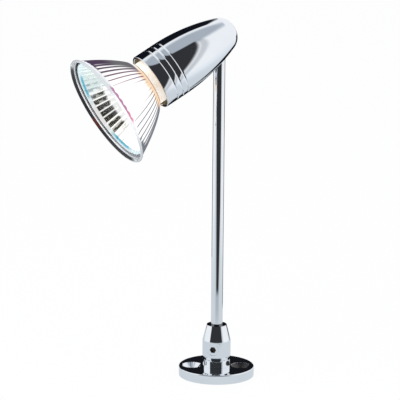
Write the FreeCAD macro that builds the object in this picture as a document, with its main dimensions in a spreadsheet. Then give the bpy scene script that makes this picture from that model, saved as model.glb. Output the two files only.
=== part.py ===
import FreeCAD, Part
import math
import os
import re
import Sketcher

# Stem-mounted display spotlight: a round screw-down base, a clamp collar, a thin stem tube and a
# tilting bullet head that holds a 50 mm reflector lamp.
# The origin is the centre of the base's underside. +Z runs up the stem and the head points to -Y.
#
# The head's pieces are drawn in a head frame: its origin is the centre of the housing's mouth,
# +Z runs back along the housing to its tail and +Y to the underside, where the slot is.
# The lamp's pieces are drawn in a lamp frame, turned the same way, from the centre of its rim.

doc = FreeCAD.newDocument("StemSpotlight")
sheet = doc.addObject("Spreadsheet::Sheet", "Sizes")
aliases = []
nodes = []


# Driving dimensions in millimetres, degrees where a note says so. Each becomes a cell of the sheet.

plateSizes = {
    "plateDia": 32,           # base plate across
    "plateThick": 4,          # base plate thickness
    "plateBevel": 0.4,        # bevel on the plate's upper edge
    "bossDia": 11.5,          # boss under the collar, across
    "bossHeight": 3,          # boss above the plate
    "screwPitch": 20.8,       # distance between the two screw holes
    "screwHole": 4.2,         # screw hole across
    "sinkDia": 8.4,           # countersink across, at the plate's top
    "plateTurn": 63,          # turn of the screw holes about the stem, degrees
    "recessDia": 14.4,        # recess in the underside for the foot nut
    "recessDepth": 2.6,       # depth of that recess
}
footSizes = {
    "nippleDia": 7,           # threaded nipple across
    "nippleGrip": 2.6,        # thread taken up in the collar
    "nippleLift": 0.3,        # nipple and nut above the underside
    "lipThick": 0.7,          # lip that the stem stands on
    "lipBore": 3.8,           # bore through the lip
    "nutFlats": 10,           # foot nut across flats
    "lockThick": 0.5,         # lock washer thickness
    "lockDia": 11,            # lock washer across
    "lockTeeth": 12,          # teeth round the lock washer
}
collarSizes = {
    "collarDia": 12,          # collar across
    "collarWaist": 9.4,       # collar's lower end across
    "collarUnderCut": 1.6,    # height of the lower chamfer
    "collarStraight": 7,      # height of the straight part
    "collarCone": 6.7,        # height of the cone
    "collarTop": 8.5,         # collar's top across
    "setScrewDia": 5,         # set screw across
    "setScrewRise": 3.7,      # set screw above the straight part's foot
    "setScrewKey": 2.5,       # hexagon key across flats
    "setScrewKeyDepth": 1.8,  # depth of the key socket
    "setScrewSink": 0.2,      # screw's end below the collar's surface
    "setScrewTurn": -42,      # turn of the set screw about the stem, degrees
}
stemSizes = {
    "stemDia": 5,             # stem tube across
    "stemBore": 3.6,          # bore of the stem tube
    "runGap": 0.05,           # radial clearance of turning and sliding fits
    "pivotHeight": 149,       # tilt axis above the underside
    "stemShort": 5.6,         # stem tube's end below the tilt axis
    "bushWall": 0.3,          # wall of the cable bush
    "bushLength": 6,          # length of the cable bush in the stem
}
tiltSizes = {
    "headDip": 27,            # head below level, degrees
    "tiltDown": 16,           # tilt further down, degrees
    "tiltUp": 72,             # tilt up, degrees
    "pivotInset": 7.1,        # tilt axis in front of the tail's end
    "eyeDia": 6.6,            # knuckle eye across
    "eyeWidth": 4.6,          # knuckle eye width
    "pivotDia": 3,            # pivot screw across
    "pivotHeadDia": 5.5,      # pivot screw's head across
    "pivotHeadThick": 1.8,    # pivot screw's head thickness
    "pivotNutFlats": 5.5,     # pivot nut across flats
    "pivotNutThick": 1.8,     # pivot nut thickness
    "pivotTail": 0.3,         # screw past the nut
    "frictionThick": 0.55,    # friction washer thickness
    "frictionDia": 6.4,       # friction washer across
    "spigotLength": 8,        # knuckle's half-round tail in the stem
}
housingSizes = {
    "mouthDia": 25,           # housing across at the mouth
    "headLength": 43.6,       # housing length
    "mouthStraight": 10,      # straight part behind the mouth
    "tailRadius": 7,          # radius of the rounded tail
    "tailFlat": 0.83,         # half width of the small flat at the tail's end
    "shellWall": 1,           # housing wall
    "lipBevel": 0.25,         # bevel of the mouth's edges
    "ringFirst": 5.3,         # first groove behind the mouth
    "ringPitch": 2.8,         # distance between grooves
    "ringCount": 3,           # grooves round the housing
    "ringWidth": 0.5,         # groove width
    "ringDepth": 0.28,        # groove depth
    "slotPlay": 0.5,          # slot past the stem on each side
}
holderSizes = {
    "holderBack": 23.8,       # lampholder's back face behind the mouth
    "holderDeep": 9.4,        # lampholder along the head
    "holderWide": 10,         # lampholder across the pins
    "holderLap": 4.8,         # lampholder's length over its screws' distance
    "holderRound": 2,         # rounding of the lampholder's corners
    "pinPitch": 5.3,          # distance between the lamp's pins
    "pinDia": 1.5,            # lamp pin across
    "sleeveWall": 0.4,        # wall of a contact sleeve
    "sleeveLength": 7.6,      # length of a contact sleeve
    "holderScrewPitch": 12.4, # distance between the lampholder's screws
    "holderScrewDia": 2.5,    # lampholder screw across
    "holderHeadDia": 4.4,     # lampholder screw's head across
    "holderHeadThick": 1.4,   # lampholder screw's head thickness
    "strapThick": 1,          # yoke's sheet thickness
    "legGap": 5.8,            # between the yoke's legs
    "legWidth": 6.8,          # width of a yoke leg
    "flangeLap": 3.6,         # yoke flange's length over the same distance
    "earInset": 2.9,          # yoke's ears inside the mouth's radius
    "earWidth": 6,            # width of a yoke ear
    "earLength": 9,           # length of a yoke ear
    "leadWindow": 8,          # window in the yoke's flange for the leads
    "shellScrewDia": 3,       # housing screw across
    "shellScrewHead": 5.6,    # housing screw's countersunk head across
    "shellScrewBack": 18,     # housing screw behind the mouth
    "shellScrewSink": 0.7,    # housing screw's head below the mouth's radius
    "earBossDia": 4.4,        # boss on a yoke ear, across
    "earBossInset": 2.3,      # boss end inside the mouth's radius
}
lampSizes = {
    "lampSeat": 0.4,          # lamp's neck in front of the lampholder
    "rimDia": 50.7,           # lamp's rim across
    "rimThick": 2.2,          # thickness of the rim
    "rimRoll": 0.7,           # how far the rim's edges are rolled in
    "bowlCurve": 24.7,        # parabola of the bowl: radius squared per mm of depth
    "bowlApex": 25.7,         # outer parabola's apex behind the rim
    "bowlInset": 2.7,         # inner parabola's apex ahead of the outer one
    "bowlTail": 4.8,          # bowl's back end in front of the outer apex
    "fluteCount": 48,         # flutes outside and facet columns inside
    "fluteShare": 0.022,      # flute depth as a share of the radius
    "facetRows": 8,           # rows of facets inside
    "neckTall": 19,           # neck along the pins
    "neckWide": 12,           # neck across the pins
    "neckReach": 11.8,        # neck's end behind the outer apex
    "neckWall": 2,            # wall of the neck
    "neckRound": 4,           # rounding of the neck's corners
    "cementDeep": 13.5,       # cement in the neck
    "glassDia": 47.4,         # front glass across
    "glassThick": 1.2,        # front glass thickness
    "glassSink": 0.5,         # front glass behind the rim
    "glassPlay": 0.05,        # clearance round the front glass
    "bulbDia": 9.4,           # quartz bulb across
    "bulbLength": 13,         # quartz bulb's length without the pinch
    "bulbGap": 1,             # quartz bulb's back in front of the cement
    "bulbWall": 0.9,          # quartz wall
    "pinchThick": 3,          # thickness of the flat pinch
    "pinchWide": 8.6,         # width of the flat pinch
    "pinchDeep": 8,           # pinch in the cement
    "coilDia": 1.8,           # filament coil across
    "coilLength": 5.5,        # filament coil length
    "legDia": 0.5,            # filament leg across
    "pinHold": 4,             # pin's inner end in the cement
    "pinReach": 7,            # pin beyond the neck
}
leadSizes = {
    "leadDia": 1.1,           # insulated lead across
    "leadPlay": 0.1,          # clearance round a lead
    "leadRise": 0.8,          # lead past the stem's end before it bends
    "leadForward": 3,         # lead in front of the tilt axis where it passes the eye
    "leadUnder": 3.2,         # lead under the tilt axis there
    "leadStraight": 2.2,      # lead straight behind its sleeve
}

row = 0
for title, sizes in (
        ("Base plate", plateSizes), ("Foot nipple, washer and nut", footSizes),
        ("Collar and set screw", collarSizes), ("Stem", stemSizes), ("Tilt joint", tiltSizes),
        ("Head housing", housingSizes), ("Lampholder and yoke", holderSizes),
        ("Reflector lamp", lampSizes), ("Leads", leadSizes)):
    row += 1
    sheet.set(f"A{row}", title)
    for alias, value in sizes.items():
        row += 1
        sheet.set(f"A{row}", alias)
        sheet.set(f"B{row}", str(value))
        sheet.setAlias(f"B{row}", alias)
        aliases.append(alias)
doc.recompute()


def inSheet(rule):
    """Puts the sheet's name before each alias in an expression."""
    return re.sub(r"[A-Za-z]\w*", lambda word: "Sizes." + word[0] if word[0] in aliases else word[0], rule)


def size(rule):
    """The value that an expression on the sheet's aliases has now."""
    return float(sheet.evalExpression(inSheet(rule)))


def bind(thing, prop, rule):
    thing.setExpression(prop, inSheet(rule))


def node(thing, label, place=None):
    """Makes a finished object a sub-part: its label names its file."""
    thing.Label = label
    if place:
        bind(thing, "Placement", place)
    nodes.append(thing)
    return thing


pivotSetback = "(headLength - pivotInset)"   # the tilt axis behind the mouth

# depths behind the lamp's rim, and the rim's own distance in front of the housing's mouth
bowlDeep = "(bowlApex - bowlTail)"
neckEnd = "(bowlApex + neckReach)"
cementFront = f"({neckEnd} - cementDeep)"
bulbBack = f"({cementFront} - bulbGap)"
bulbFront = f"({bulbBack} - bulbLength)"
pinRoot = f"({neckEnd} - pinHold)"
rimAhead = f"({neckEnd} + lampSeat - holderBack + holderDeep)"



def alongHead(setback):
    """The place of a frame on the head's axis, a distance in front of the tilt axis."""
    return (f"placement(vector(0; -({setback}) * cos(headDip); pivotHeight - ({setback}) * sin(headDip));"
            " rotation(vector(1; 0; 0); headDip - 90))")


headPlace = alongHead(pivotSetback)
lampPlace = alongHead(f"{pivotSetback} + {rimAhead}")
collarPlace = "placement(vector(0; 0; 0); rotation(vector(0; 0; 1); setScrewTurn))"
platePlace = "placement(vector(0; 0; 0); rotation(vector(0; 0; 1); plateTurn))"


# ---- Sketch and feature helpers ----

def newBody(name):
    return doc.addObject("PartDesign::Body", name)


def newSketch(body, role, offset=None):
    """A sketch on one of the body's origin planes, moved along the plane's normal by offset."""
    sketch = body.newObject("Sketcher::SketchObject", body.Name + "Sketch")
    plane = next(feature for feature in body.Origin.OriginFeatures if feature.Role == role)
    sketch.AttachmentSupport = [(plane, "")]
    sketch.MapMode = "FlatFace"
    if offset:
        bind(sketch, "AttachmentOffset.Base.z", offset)
    return sketch


def pinTo(sketch, line, end, across, up):
    """Holds one end of a line at a place given by two expressions."""
    for kind, rule, axis in (("DistanceX", across, -2), ("DistanceY", up, -1)):
        value = size(rule)
        if rule == "0":
            sketch.addConstraint(Sketcher.Constraint("PointOnObject", line, end, axis))
        else:
            index = sketch.addConstraint(Sketcher.Constraint(kind, -1, 1, line, end, value))
            bind(sketch, f"Constraints[{index}]", rule)


def outline(sketch, corners):
    """A closed outline of straight lines through corners given by expressions."""
    places = [FreeCAD.Vector(size(across), size(up), 0) for across, up in corners]
    first = sketch.GeometryCount
    for start, end in zip(places, places[1:] + places[:1]):
        sketch.addGeometry(Part.LineSegment(start, end), False)
    for step, (across, up) in enumerate(corners):
        before = first + (step - 1) % len(corners)
        sketch.addConstraint(Sketcher.Constraint("Coincident", before, 2, first + step, 1))
        pinTo(sketch, first + step, 1, across, up)


def circle(sketch, across, up, radius):
    index = sketch.addGeometry(Part.Circle(FreeCAD.Vector(size(across), size(up), 0),
                                           FreeCAD.Vector(0, 0, 1), size(radius)), False)
    pinTo(sketch, index, 3, across, up)
    limit = sketch.addConstraint(Sketcher.Constraint("Radius", index, size(radius)))
    bind(sketch, f"Constraints[{limit}]", radius)


def rectangle(sketch, left, right, low, high):
    outline(sketch, [(left, low), (right, low), (right, high), (left, high)])


def hexagon(sketch, flats, across="0", up="0"):
    """A hexagon with corners to its left and right."""
    outline(sketch, [(f"{across} + {flats} / sqrt(3) * cos({60 * step})",
                      f"{up} + {flats} / sqrt(3) * sin({60 * step})") for step in range(6)])


def feature(body, kind, sketch, **settings):
    """Adds a sketch-based feature and checks that it changed the solid."""
    before = body.Tip.Shape.Volume if body.Tip else 0
    item = body.newObject("PartDesign::" + kind, body.Name + kind)
    item.Profile = sketch
    for name, value in settings.items():
        if isinstance(value, str) and name in ("Length", "Angle"):
            bind(item, name, value)
        else:
            setattr(item, name, value)
    doc.recompute()
    after = item.Shape.Volume
    cuts = kind in ("Pocket", "Groove")
    if (cuts and after >= before) or (not cuts and after <= before):
        raise RuntimeError(f"{item.Name} changed nothing: {before:.3f} to {after:.3f}")
    return item


def spin(body, sketch, kind="Revolution"):
    """Turns a sketch about the body's Z axis, which is the sketch's own upright axis."""
    return feature(body, kind, sketch, ReferenceAxis=(sketch, ["V_Axis"]), Angle=360.0)


def primitive(kind, name, place=None, **rules):
    item = doc.addObject("Part::" + kind, name)
    for prop, rule in rules.items():
        bind(item, prop, rule)
    if place:
        bind(item, "Placement", place)
    return item


def fuse(name, *items):
    joined = doc.addObject("Part::MultiFuse", name)
    joined.Shapes = list(items)
    return joined


def cut(name, base, tool):
    item = doc.addObject("Part::Cut", name)
    item.Base = base
    item.Tool = tool
    return item


def at(across="0", along="0", up="0", axis="0; 0; 1", angle="0"):
    """The expression of a placement."""
    return f"placement(vector({across}; {along}; {up}); rotation(vector({axis}); {angle}))"


# ---- Base: plate, nipple, washer, nut ----

def basePlate():
    """Turned plate with the boss that the collar sits on, a nut recess and two screw holes."""
    body = newBody("PlateTurning")
    half = newSketch(body, "XZ_Plane")
    bore = "nippleDia / 2 + runGap"
    outline(half, [
        (bore, "recessDepth"), ("recessDia / 2", "recessDepth"), ("recessDia / 2", "0"),
        ("plateDia / 2", "0"), ("plateDia / 2", "plateThick - plateBevel"),
        ("plateDia / 2 - plateBevel", "plateThick"), ("bossDia / 2", "plateThick"),
        ("bossDia / 2", "plateThick + bossHeight"), (bore, "plateThick + bossHeight")])
    spin(body, half)
    spots = newSketch(body, "XY_Plane", "plateThick")
    for side in ("-", ""):
        circle(spots, side + "screwPitch / 2", "0", "screwHole / 2")
    doc.recompute()
    hole = body.newObject("PartDesign::Hole", "ScrewHoles")
    hole.Profile = spots
    hole.DepthType = "ThroughAll"
    hole.HoleCutType = "Countersink"
    hole.HoleCutCustomValues = True
    bind(hole, "Diameter", "screwHole")
    bind(hole, "HoleCutDiameter", "sinkDia")
    body.Tip = hole
    doc.recompute()
    node(body, "base_plate", platePlace)


def footNipple():
    """Hollow threaded nipple that draws the collar down; the stem stands on its inner lip."""
    body = newBody("NippleTurning")
    half = newSketch(body, "XZ_Plane")
    bore = "stemDia / 2 + 2 * runGap"
    top = "plateThick + bossHeight + nippleGrip"
    outline(half, [
        ("lipBore / 2", "nippleLift"), ("nippleDia / 2", "nippleLift"), ("nippleDia / 2", top),
        (bore, top), (bore, "nippleLift + lipThick"), ("lipBore / 2", "nippleLift + lipThick")])
    spin(body, half)
    node(body, "foot_nipple")


def footNut():
    body = newBody("FootNutPad")
    sketch = newSketch(body, "XY_Plane", "nippleLift")
    hexagon(sketch, "nutFlats")
    circle(sketch, "0", "0", "nippleDia / 2")
    feature(body, "Pad", sketch, Length="recessDepth - lockThick - nippleLift")
    node(body, "foot_nut")


def lockWasher():
    """Toothed lock washer between the nut and the plate."""
    body = newBody("LockWasherPad")
    ring = newSketch(body, "XY_Plane", "recessDepth - lockThick")
    circle(ring, "0", "0", "lockDia / 2")
    circle(ring, "0", "0", "nippleDia / 2 + 2 * runGap")
    feature(body, "Pad", ring, Length="lockThick")
    notch = newSketch(body, "XY_Plane", "recessDepth - lockThick")
    rectangle(notch, "lockDia / 2 - lockThick * 1.6", "lockDia / 2 + lockThick", "-lockThick", "lockThick")
    gap = feature(body, "Pocket", notch, Length="lockThick", Reversed=True)
    pattern = body.newObject("PartDesign::PolarPattern", "LockTeeth")
    pattern.Originals = [gap]
    pattern.Axis = (notch, ["N_Axis"])
    bind(pattern, "Occurrences", "lockTeeth")
    body.Tip = pattern
    node(body, "lock_washer")


# ---- Collar and its set screw ----

def collar():
    """Clamp collar: an undercut foot, a straight band and a cone, bored for the stem."""
    body = newBody("CollarTurning")
    half = newSketch(body, "XZ_Plane")
    foot = "plateThick + bossHeight"
    band = foot + " + collarUnderCut"
    stemFit = "stemDia / 2 + runGap"
    outline(half, [
        ("nippleDia / 2", foot), ("collarWaist / 2", foot), ("collarDia / 2", band),
        ("collarDia / 2", band + " + collarStraight"),
        ("collarTop / 2", band + " + collarStraight + collarCone"),
        (stemFit, band + " + collarStraight + collarCone"),
        (stemFit, foot + " + nippleGrip"), ("nippleDia / 2", foot + " + nippleGrip")])
    spin(body, half)
    spot = newSketch(body, "YZ_Plane")
    circle(spot, "0", band + " + setScrewRise", "setScrewDia / 2")
    feature(body, "Pocket", spot, Length="collarDia", Reversed=True)
    node(body, "collar", collarPlace)


def setScrew():
    """Grub screw with a hexagon socket, just clear of the stem at its tip."""
    body = newBody("SetScrewTurning")
    centre = "plateThick + bossHeight + collarUnderCut + setScrewRise"
    tip = "stemDia / 2 + runGap"
    length = "(collarDia / 2 - setScrewSink - stemDia / 2 - runGap)"
    rod = newSketch(body, "YZ_Plane", tip)
    circle(rod, "0", centre, "setScrewDia / 2")
    feature(body, "Pad", rod, Length=length)
    socket = newSketch(body, "YZ_Plane", tip + " + " + length + " - setScrewKeyDepth")
    outline(socket, [(f"setScrewKey / sqrt(3) * sin({60 * step})",
                      f"{centre} + setScrewKey / sqrt(3) * cos({60 * step})") for step in range(6)])
    feature(body, "Pocket", socket, Length="setScrewKeyDepth", Reversed=True)
    node(body, "set_screw", collarPlace)


# ---- Stem, knuckle and bush ----

stemFoot = "nippleLift + lipThick + runGap"


def stemTube():
    body = newBody("StemPad")
    ring = newSketch(body, "XY_Plane", stemFoot)
    circle(ring, "0", "0", "stemDia / 2")
    circle(ring, "0", "0", "stemBore / 2")
    feature(body, "Pad", ring, Length="pivotHeight - stemShort - (" + stemFoot + ")")
    node(body, "stem_tube")


def cableBush():
    """Insulating bush in the stem's lower end, where the leads leave."""
    body = newBody("BushPad")
    ring = newSketch(body, "XY_Plane", stemFoot)
    circle(ring, "0", "0", "stemBore / 2")
    circle(ring, "0", "0", "stemBore / 2 - bushWall")
    feature(body, "Pad", ring, Length="bushLength")
    node(body, "cable_bush")


def knuckle():
    """Eye on a half-round tail: the tail fills the back of the bore, the leads pass in front."""
    body = newBody("KnuckleBlank")
    eye = newSketch(body, "YZ_Plane")
    circle(eye, "0", "pivotHeight", "eyeDia / 2")
    feature(body, "Pad", eye, Length="eyeWidth", Midplane=True)
    tail = newSketch(body, "XY_Plane", "pivotHeight - stemShort - spigotLength")
    circle(tail, "0", "0", "stemBore / 2")
    feature(body, "Pad", tail, Length="stemShort + spigotLength - eyeDia / 4")
    front = newSketch(body, "XY_Plane", "pivotHeight - stemShort - spigotLength")
    rectangle(front, "-stemBore", "stemBore", "-stemBore", "0")
    feature(body, "Pocket", front, Length="stemShort + spigotLength - eyeDia / 2", Reversed=True)
    hole = newSketch(body, "YZ_Plane")
    circle(hole, "0", "pivotHeight", "pivotDia / 2 + runGap")
    feature(body, "Pocket", hole, Length="eyeWidth * 2", Midplane=True)
    node(body, "stem_knuckle")


# ---- Head housing ----

# the flank's arc starts along the mouth's straight part and runs into the tail's arc
flankRun = "(headLength - tailRadius - mouthStraight)"
flankFall = "(mouthDia / 2 - tailRadius - tailFlat)"
flankSwing = f"(({flankRun} * {flankRun} + {flankFall} * {flankFall}) / (2 * {flankFall}))"
flankTurn = f"asin({flankRun} / {flankSwing})"


def bullet(body, inset, mouth, flankBands, tailBands):
    """Half outline of the housing: a long flank arc that runs into the tail's arc, both in short bands.

    The outline is moved inwards by inset, and its mouth is bevelled by mouth.
    """
    half = newSketch(body, "XZ_Plane")
    corners = [("0", "0"), (f"mouthDia / 2 - {inset} - {mouth}", "0"),
               (f"mouthDia / 2 - {inset}", "lipBevel")]
    for step in range(flankBands + 1):
        angle = f"({flankTurn} * {step} / {flankBands})"
        reach = f"({flankSwing} + tailRadius - {inset})"
        corners.append((f"mouthDia / 2 - tailRadius - {flankSwing} + {reach} * cos({angle})",
                        f"mouthStraight + {reach} * sin({angle})"))
    for step in range(1, tailBands + 1):
        angle = f"({flankTurn} + (90 deg - {flankTurn}) * {step} / {tailBands})"
        corners.append((f"tailFlat + (tailRadius - {inset}) * cos({angle})",
                        f"headLength - tailRadius + (tailRadius - {inset}) * sin({angle})"))
    corners.append(("0", f"headLength - {inset}"))
    outline(half, corners)
    return half


shellScrewTop = "mouthDia / 2 - shellScrewSink"


def headHousing():
    """Bullet shell with three fine grooves and the slot that the stem swings in."""
    body = newBody("HousingTurning")
    spin(body, bullet(body, "0", "lipBevel", 4, 3))
    spin(body, bullet(body, "shellWall", "(-lipBevel)", 2, 2), "Groove")
    line = newSketch(body, "XZ_Plane")
    outline(line, [("mouthDia / 2 - ringDepth", "ringFirst"),
                   ("mouthDia / 2 + ringDepth", "ringFirst - ringWidth"),
                   ("mouthDia / 2 + ringDepth", "ringFirst + ringWidth")])
    ring = spin(body, line, "Groove")
    rings = body.newObject("PartDesign::LinearPattern", "Rings")
    rings.Originals = [ring]
    rings.Direction = (line, ["V_Axis"])
    bind(rings, "Length", "ringPitch * (ringCount - 1)")
    bind(rings, "Occurrences", "ringCount")
    body.Tip = rings
    # the stem lies at (90 - headDip) from the head's axis at rest, on the mouth's side of the pivot
    slot = "stemDia / 2 + slotPlay"
    reach = "mouthDia"
    front = "90 - headDip - tiltDown"
    fan = primitive("Cylinder", "SlotFan", Radius=reach, Height=f"2 * ({slot})", Angle="tiltDown + tiltUp",
                    place=at("0", "0", pivotSetback, "1; 0; 0", front)
                    + " * " + at(f"-({slot})", "0", "0", "0; 1; 0", "90"))
    ends = []
    for name, angle in (("SlotFront", front), ("SlotBack", "90 - headDip + tiltUp")):
        ends.append(primitive("Cylinder", name, at("0", "0", pivotSetback, "1; 0; 0", f"180 + {angle}"),
                              Radius=slot, Height=reach))
    sink = primitive("Cone", "ShellScrewSink",
                     at(f"-({shellScrewTop}) - shellWall", "0", "shellScrewBack", "0; 1; 0", "90"),
                     Radius1="shellScrewHead / 2 + shellWall + runGap", Radius2="shellScrewDia / 2 + runGap",
                     Height="shellWall + (shellScrewHead - shellScrewDia) / 2")
    tool = fuse("HousingCutter", fan, *ends, sink)
    node(cut("HousingSlotted", body, tool), "head_housing", headPlace)


# ---- Tilt joint ----

earReach = "(mouthDia / 2 - earInset)"
flangeTall = "(holderScrewPitch + flangeLap)"


def yoke():
    """Bent strap: a flange behind the lampholder, two ears forward, two legs back to the pivot."""
    body = newBody("YokeStrap")
    flange = newSketch(body, "XY_Plane", "holderBack")
    half = "legGap / 2 + strapThick"
    tall, ear = flangeTall + " / 2", "earWidth / 2"
    outline(flange, [
        (half, "-" + tall), (half, "-" + ear), (earReach, "-" + ear), (earReach, ear),
        (half, ear), (half, tall), (f"-({half})", tall), (f"-({half})", ear), ("-" + earReach, ear),
        ("-" + earReach, "-" + ear), (f"-({half})", "-" + ear), (f"-({half})", "-" + tall)])
    feature(body, "Pad", flange, Length="strapThick")
    ears = newSketch(body, "XY_Plane", "holderBack")
    rectangle(ears, earReach + " - strapThick", earReach, "-" + ear, ear)
    rectangle(ears, "-" + earReach, f"-{earReach} + strapThick", "-" + ear, ear)
    feature(body, "Pad", ears, Length="earLength", Reversed=True)
    for side in ("-", ""):
        boss = newSketch(body, "YZ_Plane", f"{side}({earReach} - strapThick)")
        circle(boss, "0", "shellScrewBack", "earBossDia / 2")
        feature(body, "Pad", boss, Length="earInset - earBossInset + strapThick", Reversed=side == "-")
    leg = newSketch(body, "YZ_Plane")
    rectangle(leg, "-legWidth / 2", "legWidth / 2", "holderBack", pivotSetback)
    feature(body, "Pad", leg, Length="2 * (" + half + ")", Midplane=True)
    end = newSketch(body, "YZ_Plane")
    circle(end, "0", pivotSetback, "legWidth / 2")
    feature(body, "Pad", end, Length="2 * (" + half + ")", Midplane=True)
    room = newSketch(body, "YZ_Plane")
    rectangle(room, "-legWidth", "legWidth", "holderBack + strapThick", pivotSetback + " + legWidth")
    feature(body, "Pocket", room, Length="legGap", Midplane=True)
    hole = newSketch(body, "YZ_Plane")
    circle(hole, "0", pivotSetback, "pivotDia / 2")
    feature(body, "Pocket", hole, Length="3 * legGap", Midplane=True)
    holes = newSketch(body, "XY_Plane", "holderBack")
    for side in ("-", ""):
        circle(holes, "0", side + "holderScrewPitch / 2", "holderScrewDia / 2")
    circle(holes, "0", "0", "leadWindow / 2")
    feature(body, "Pocket", holes, Length="strapThick", Reversed=True)
    tapped = newSketch(body, "YZ_Plane")
    circle(tapped, "0", "shellScrewBack", "shellScrewDia / 2")
    feature(body, "Pocket", tapped, Length="mouthDia")
    node(body, "head_yoke", headPlace)


def pivotScrew():
    """Pivot screw with a low head: its shank passes both legs, both washers and the eye."""
    legOut = "legGap / 2 + strapThick"
    shank = primitive("Cylinder", "PivotShank", Radius="pivotDia / 2",
                      Height=f"2 * ({legOut}) + pivotNutThick + pivotTail",
                      Placement=at(f"-({legOut}) - pivotNutThick - pivotTail", "0", pivotSetback,
                                   "0; 1; 0", "90"))
    head = primitive("Cylinder", "PivotHead", Radius="pivotHeadDia / 2", Height="pivotHeadThick",
                     Placement=at(legOut, "0", pivotSetback, "0; 1; 0", "90"))
    slot = primitive("Box", "PivotSlot", Length="pivotHeadThick", Width="pivotHeadDia",
                     Height="pivotTail * 2", Placement=at(f"{legOut} + pivotHeadThick / 2", "-pivotHeadDia / 2",
                                  pivotSetback + " - pivotTail"))
    node(cut("PivotSlotted", fuse("PivotBlank", shank, head), slot), "pivot_screw", headPlace)


def pivotNut():
    body = newBody("PivotNutPad")
    outside = "legGap / 2 + strapThick"
    sketch = newSketch(body, "YZ_Plane", f"-({outside}) - pivotNutThick")
    hexagon(sketch, "pivotNutFlats", "0", pivotSetback)
    circle(sketch, "0", pivotSetback, "pivotDia / 2")
    feature(body, "Pad", sketch, Length="pivotNutThick")
    node(body, "pivot_nut", headPlace)


def frictionWashers():
    """One friction washer on each side of the eye."""
    rings = []
    for side, start in (("Left", "-legGap / 2"), ("Right", "legGap / 2 - frictionThick")):
        place = at(start, "0", pivotSetback, "0; 1; 0", "90")
        disc = primitive("Cylinder", side + "Disc", place, Radius="frictionDia / 2", Height="frictionThick")
        bore = primitive("Cylinder", side + "Bore", place, Radius="pivotDia / 2", Height="frictionThick")
        rings.append(cut(side + "Washer", disc, bore))
    pair = doc.addObject("Part::Compound", "WasherPair")
    pair.Links = rings
    node(pair, "friction_washers", headPlace)


def shellScrew():
    """Countersunk screw through the housing's far side into the yoke's ear."""
    place = at(f"-({shellScrewTop})", "0", "shellScrewBack", "0; 1; 0", "90")
    cone = primitive("Cone", "ShellScrewCone", place, Radius1="shellScrewHead / 2",
                     Radius2="shellScrewDia / 2", Height="(shellScrewHead - shellScrewDia) / 2")
    shank = primitive("Cylinder", "ShellScrewShank", place, Radius="shellScrewDia / 2",
                      Height="earInset - shellScrewSink + strapThick * 1.5")
    slot = primitive("Box", "ShellScrewSlot",
                     at(f"-({shellScrewTop})", "-shellScrewHead / 2", "shellScrewBack - shellWall * 0.3"),
                     Length="shellWall / 2", Width="shellScrewHead", Height="shellWall * 0.6")
    node(cut("ShellScrewSlotted", fuse("ShellScrewBlank", cone, shank), slot), "housing_screw", headPlace)


# ---- Lampholder ----

holderTall = "(holderScrewPitch + holderLap)"
sleeveHalf = "(pinDia / 2 + runGap + sleeveWall)"


def squareAt(sketch, along, half):
    rectangle(sketch, "-" + half, half, f"{along} - {half}", f"{along} + {half}")


def lampholder():
    """Ceramic block with two contact bores and two sunk screw holes."""
    body = newBody("HolderBlock")
    front = "(holderBack - holderDeep)"
    face = newSketch(body, "XY_Plane", front)
    rectangle(face, "-holderWide / 2", "holderWide / 2", f"-{holderTall} / 2", f"{holderTall} / 2")
    block = feature(body, "Pad", face, Length="holderDeep")
    corners = [f"Edge{number}" for number, edge in enumerate(block.Shape.Edges, 1)
               if edge.BoundBox.ZLength > size("holderDeep") / 2]
    rounded = body.newObject("PartDesign::Fillet", "HolderRound")
    rounded.Base = (block, corners)
    bind(rounded, "Radius", "holderRound")
    body.Tip = rounded
    doc.recompute()
    pinSide = ("-", "")
    for pitch, radius, length in (
            ("pinPitch", "pinDia / 2 + 4 * runGap", "holderDeep"),
            ("holderScrewPitch", "holderScrewDia / 2", "holderDeep"),
            ("holderScrewPitch", "holderHeadDia / 2", "holderHeadThick")):
        bore = newSketch(body, "XY_Plane", front)
        for side in pinSide:
            circle(bore, "0", f"{side}{pitch} / 2", radius)
        feature(body, "Pocket", bore, Length=length, Reversed=True)
    chamber = newSketch(body, "XY_Plane", f"{front} + (holderDeep - sleeveLength) / 2")
    for side in pinSide:
        squareAt(chamber, f"{side}pinPitch / 2", sleeveHalf)
    feature(body, "Pocket", chamber, Length="sleeveLength", Reversed=True)
    node(body, "lampholder", headPlace)


def contactSleeves():
    """Square spring sleeves that grip the lamp's pins."""
    body = newBody("SleevePad")
    sketch = newSketch(body, "XY_Plane", "holderBack - holderDeep + (holderDeep - sleeveLength) / 2")
    body.AllowCompound = True
    for side in ("-", ""):
        squareAt(sketch, side + "pinPitch / 2", sleeveHalf)
        squareAt(sketch, side + "pinPitch / 2", "(pinDia / 2 + runGap)")
    feature(body, "Pad", sketch, Length="sleeveLength")
    node(body, "contact_sleeves", headPlace)


def holderScrews():
    """Two cheese-head screws through the lampholder into the yoke's flange."""
    parts = []
    front = "holderBack - holderDeep"
    for name, side in (("Upper", "-"), ("Lower", "")):
        spot = side + "holderScrewPitch / 2"
        head = primitive("Cylinder", name + "Head", at("0", spot, front), Radius="holderHeadDia / 2",
                         Height="holderHeadThick")
        shank = primitive("Cylinder", name + "Shank", at("0", spot, front), Radius="holderScrewDia / 2",
                          Height="holderDeep + strapThick")
        slot = primitive("Box", name + "Slot",
                         at("-holderHeadDia / 2", f"{spot} - holderScrewDia / 8", f"{front}"),
                         Length="holderHeadDia", Width="holderScrewDia / 4", Height="holderHeadThick / 2")
        parts.append(cut(name + "Screw", fuse(name + "Blank", head, shank), slot))
    pair = doc.addObject("Part::Compound", "HolderScrewPair")
    pair.Links = parts
    node(pair, "holder_screws", headPlace)


# ---- Reflector lamp ----

def bowlRadius(depth, inset):
    """Radius of the bowl's parabola at a depth behind the rim."""
    return math.sqrt(size("bowlCurve") * (size("bowlApex") - inset - depth))


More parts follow.
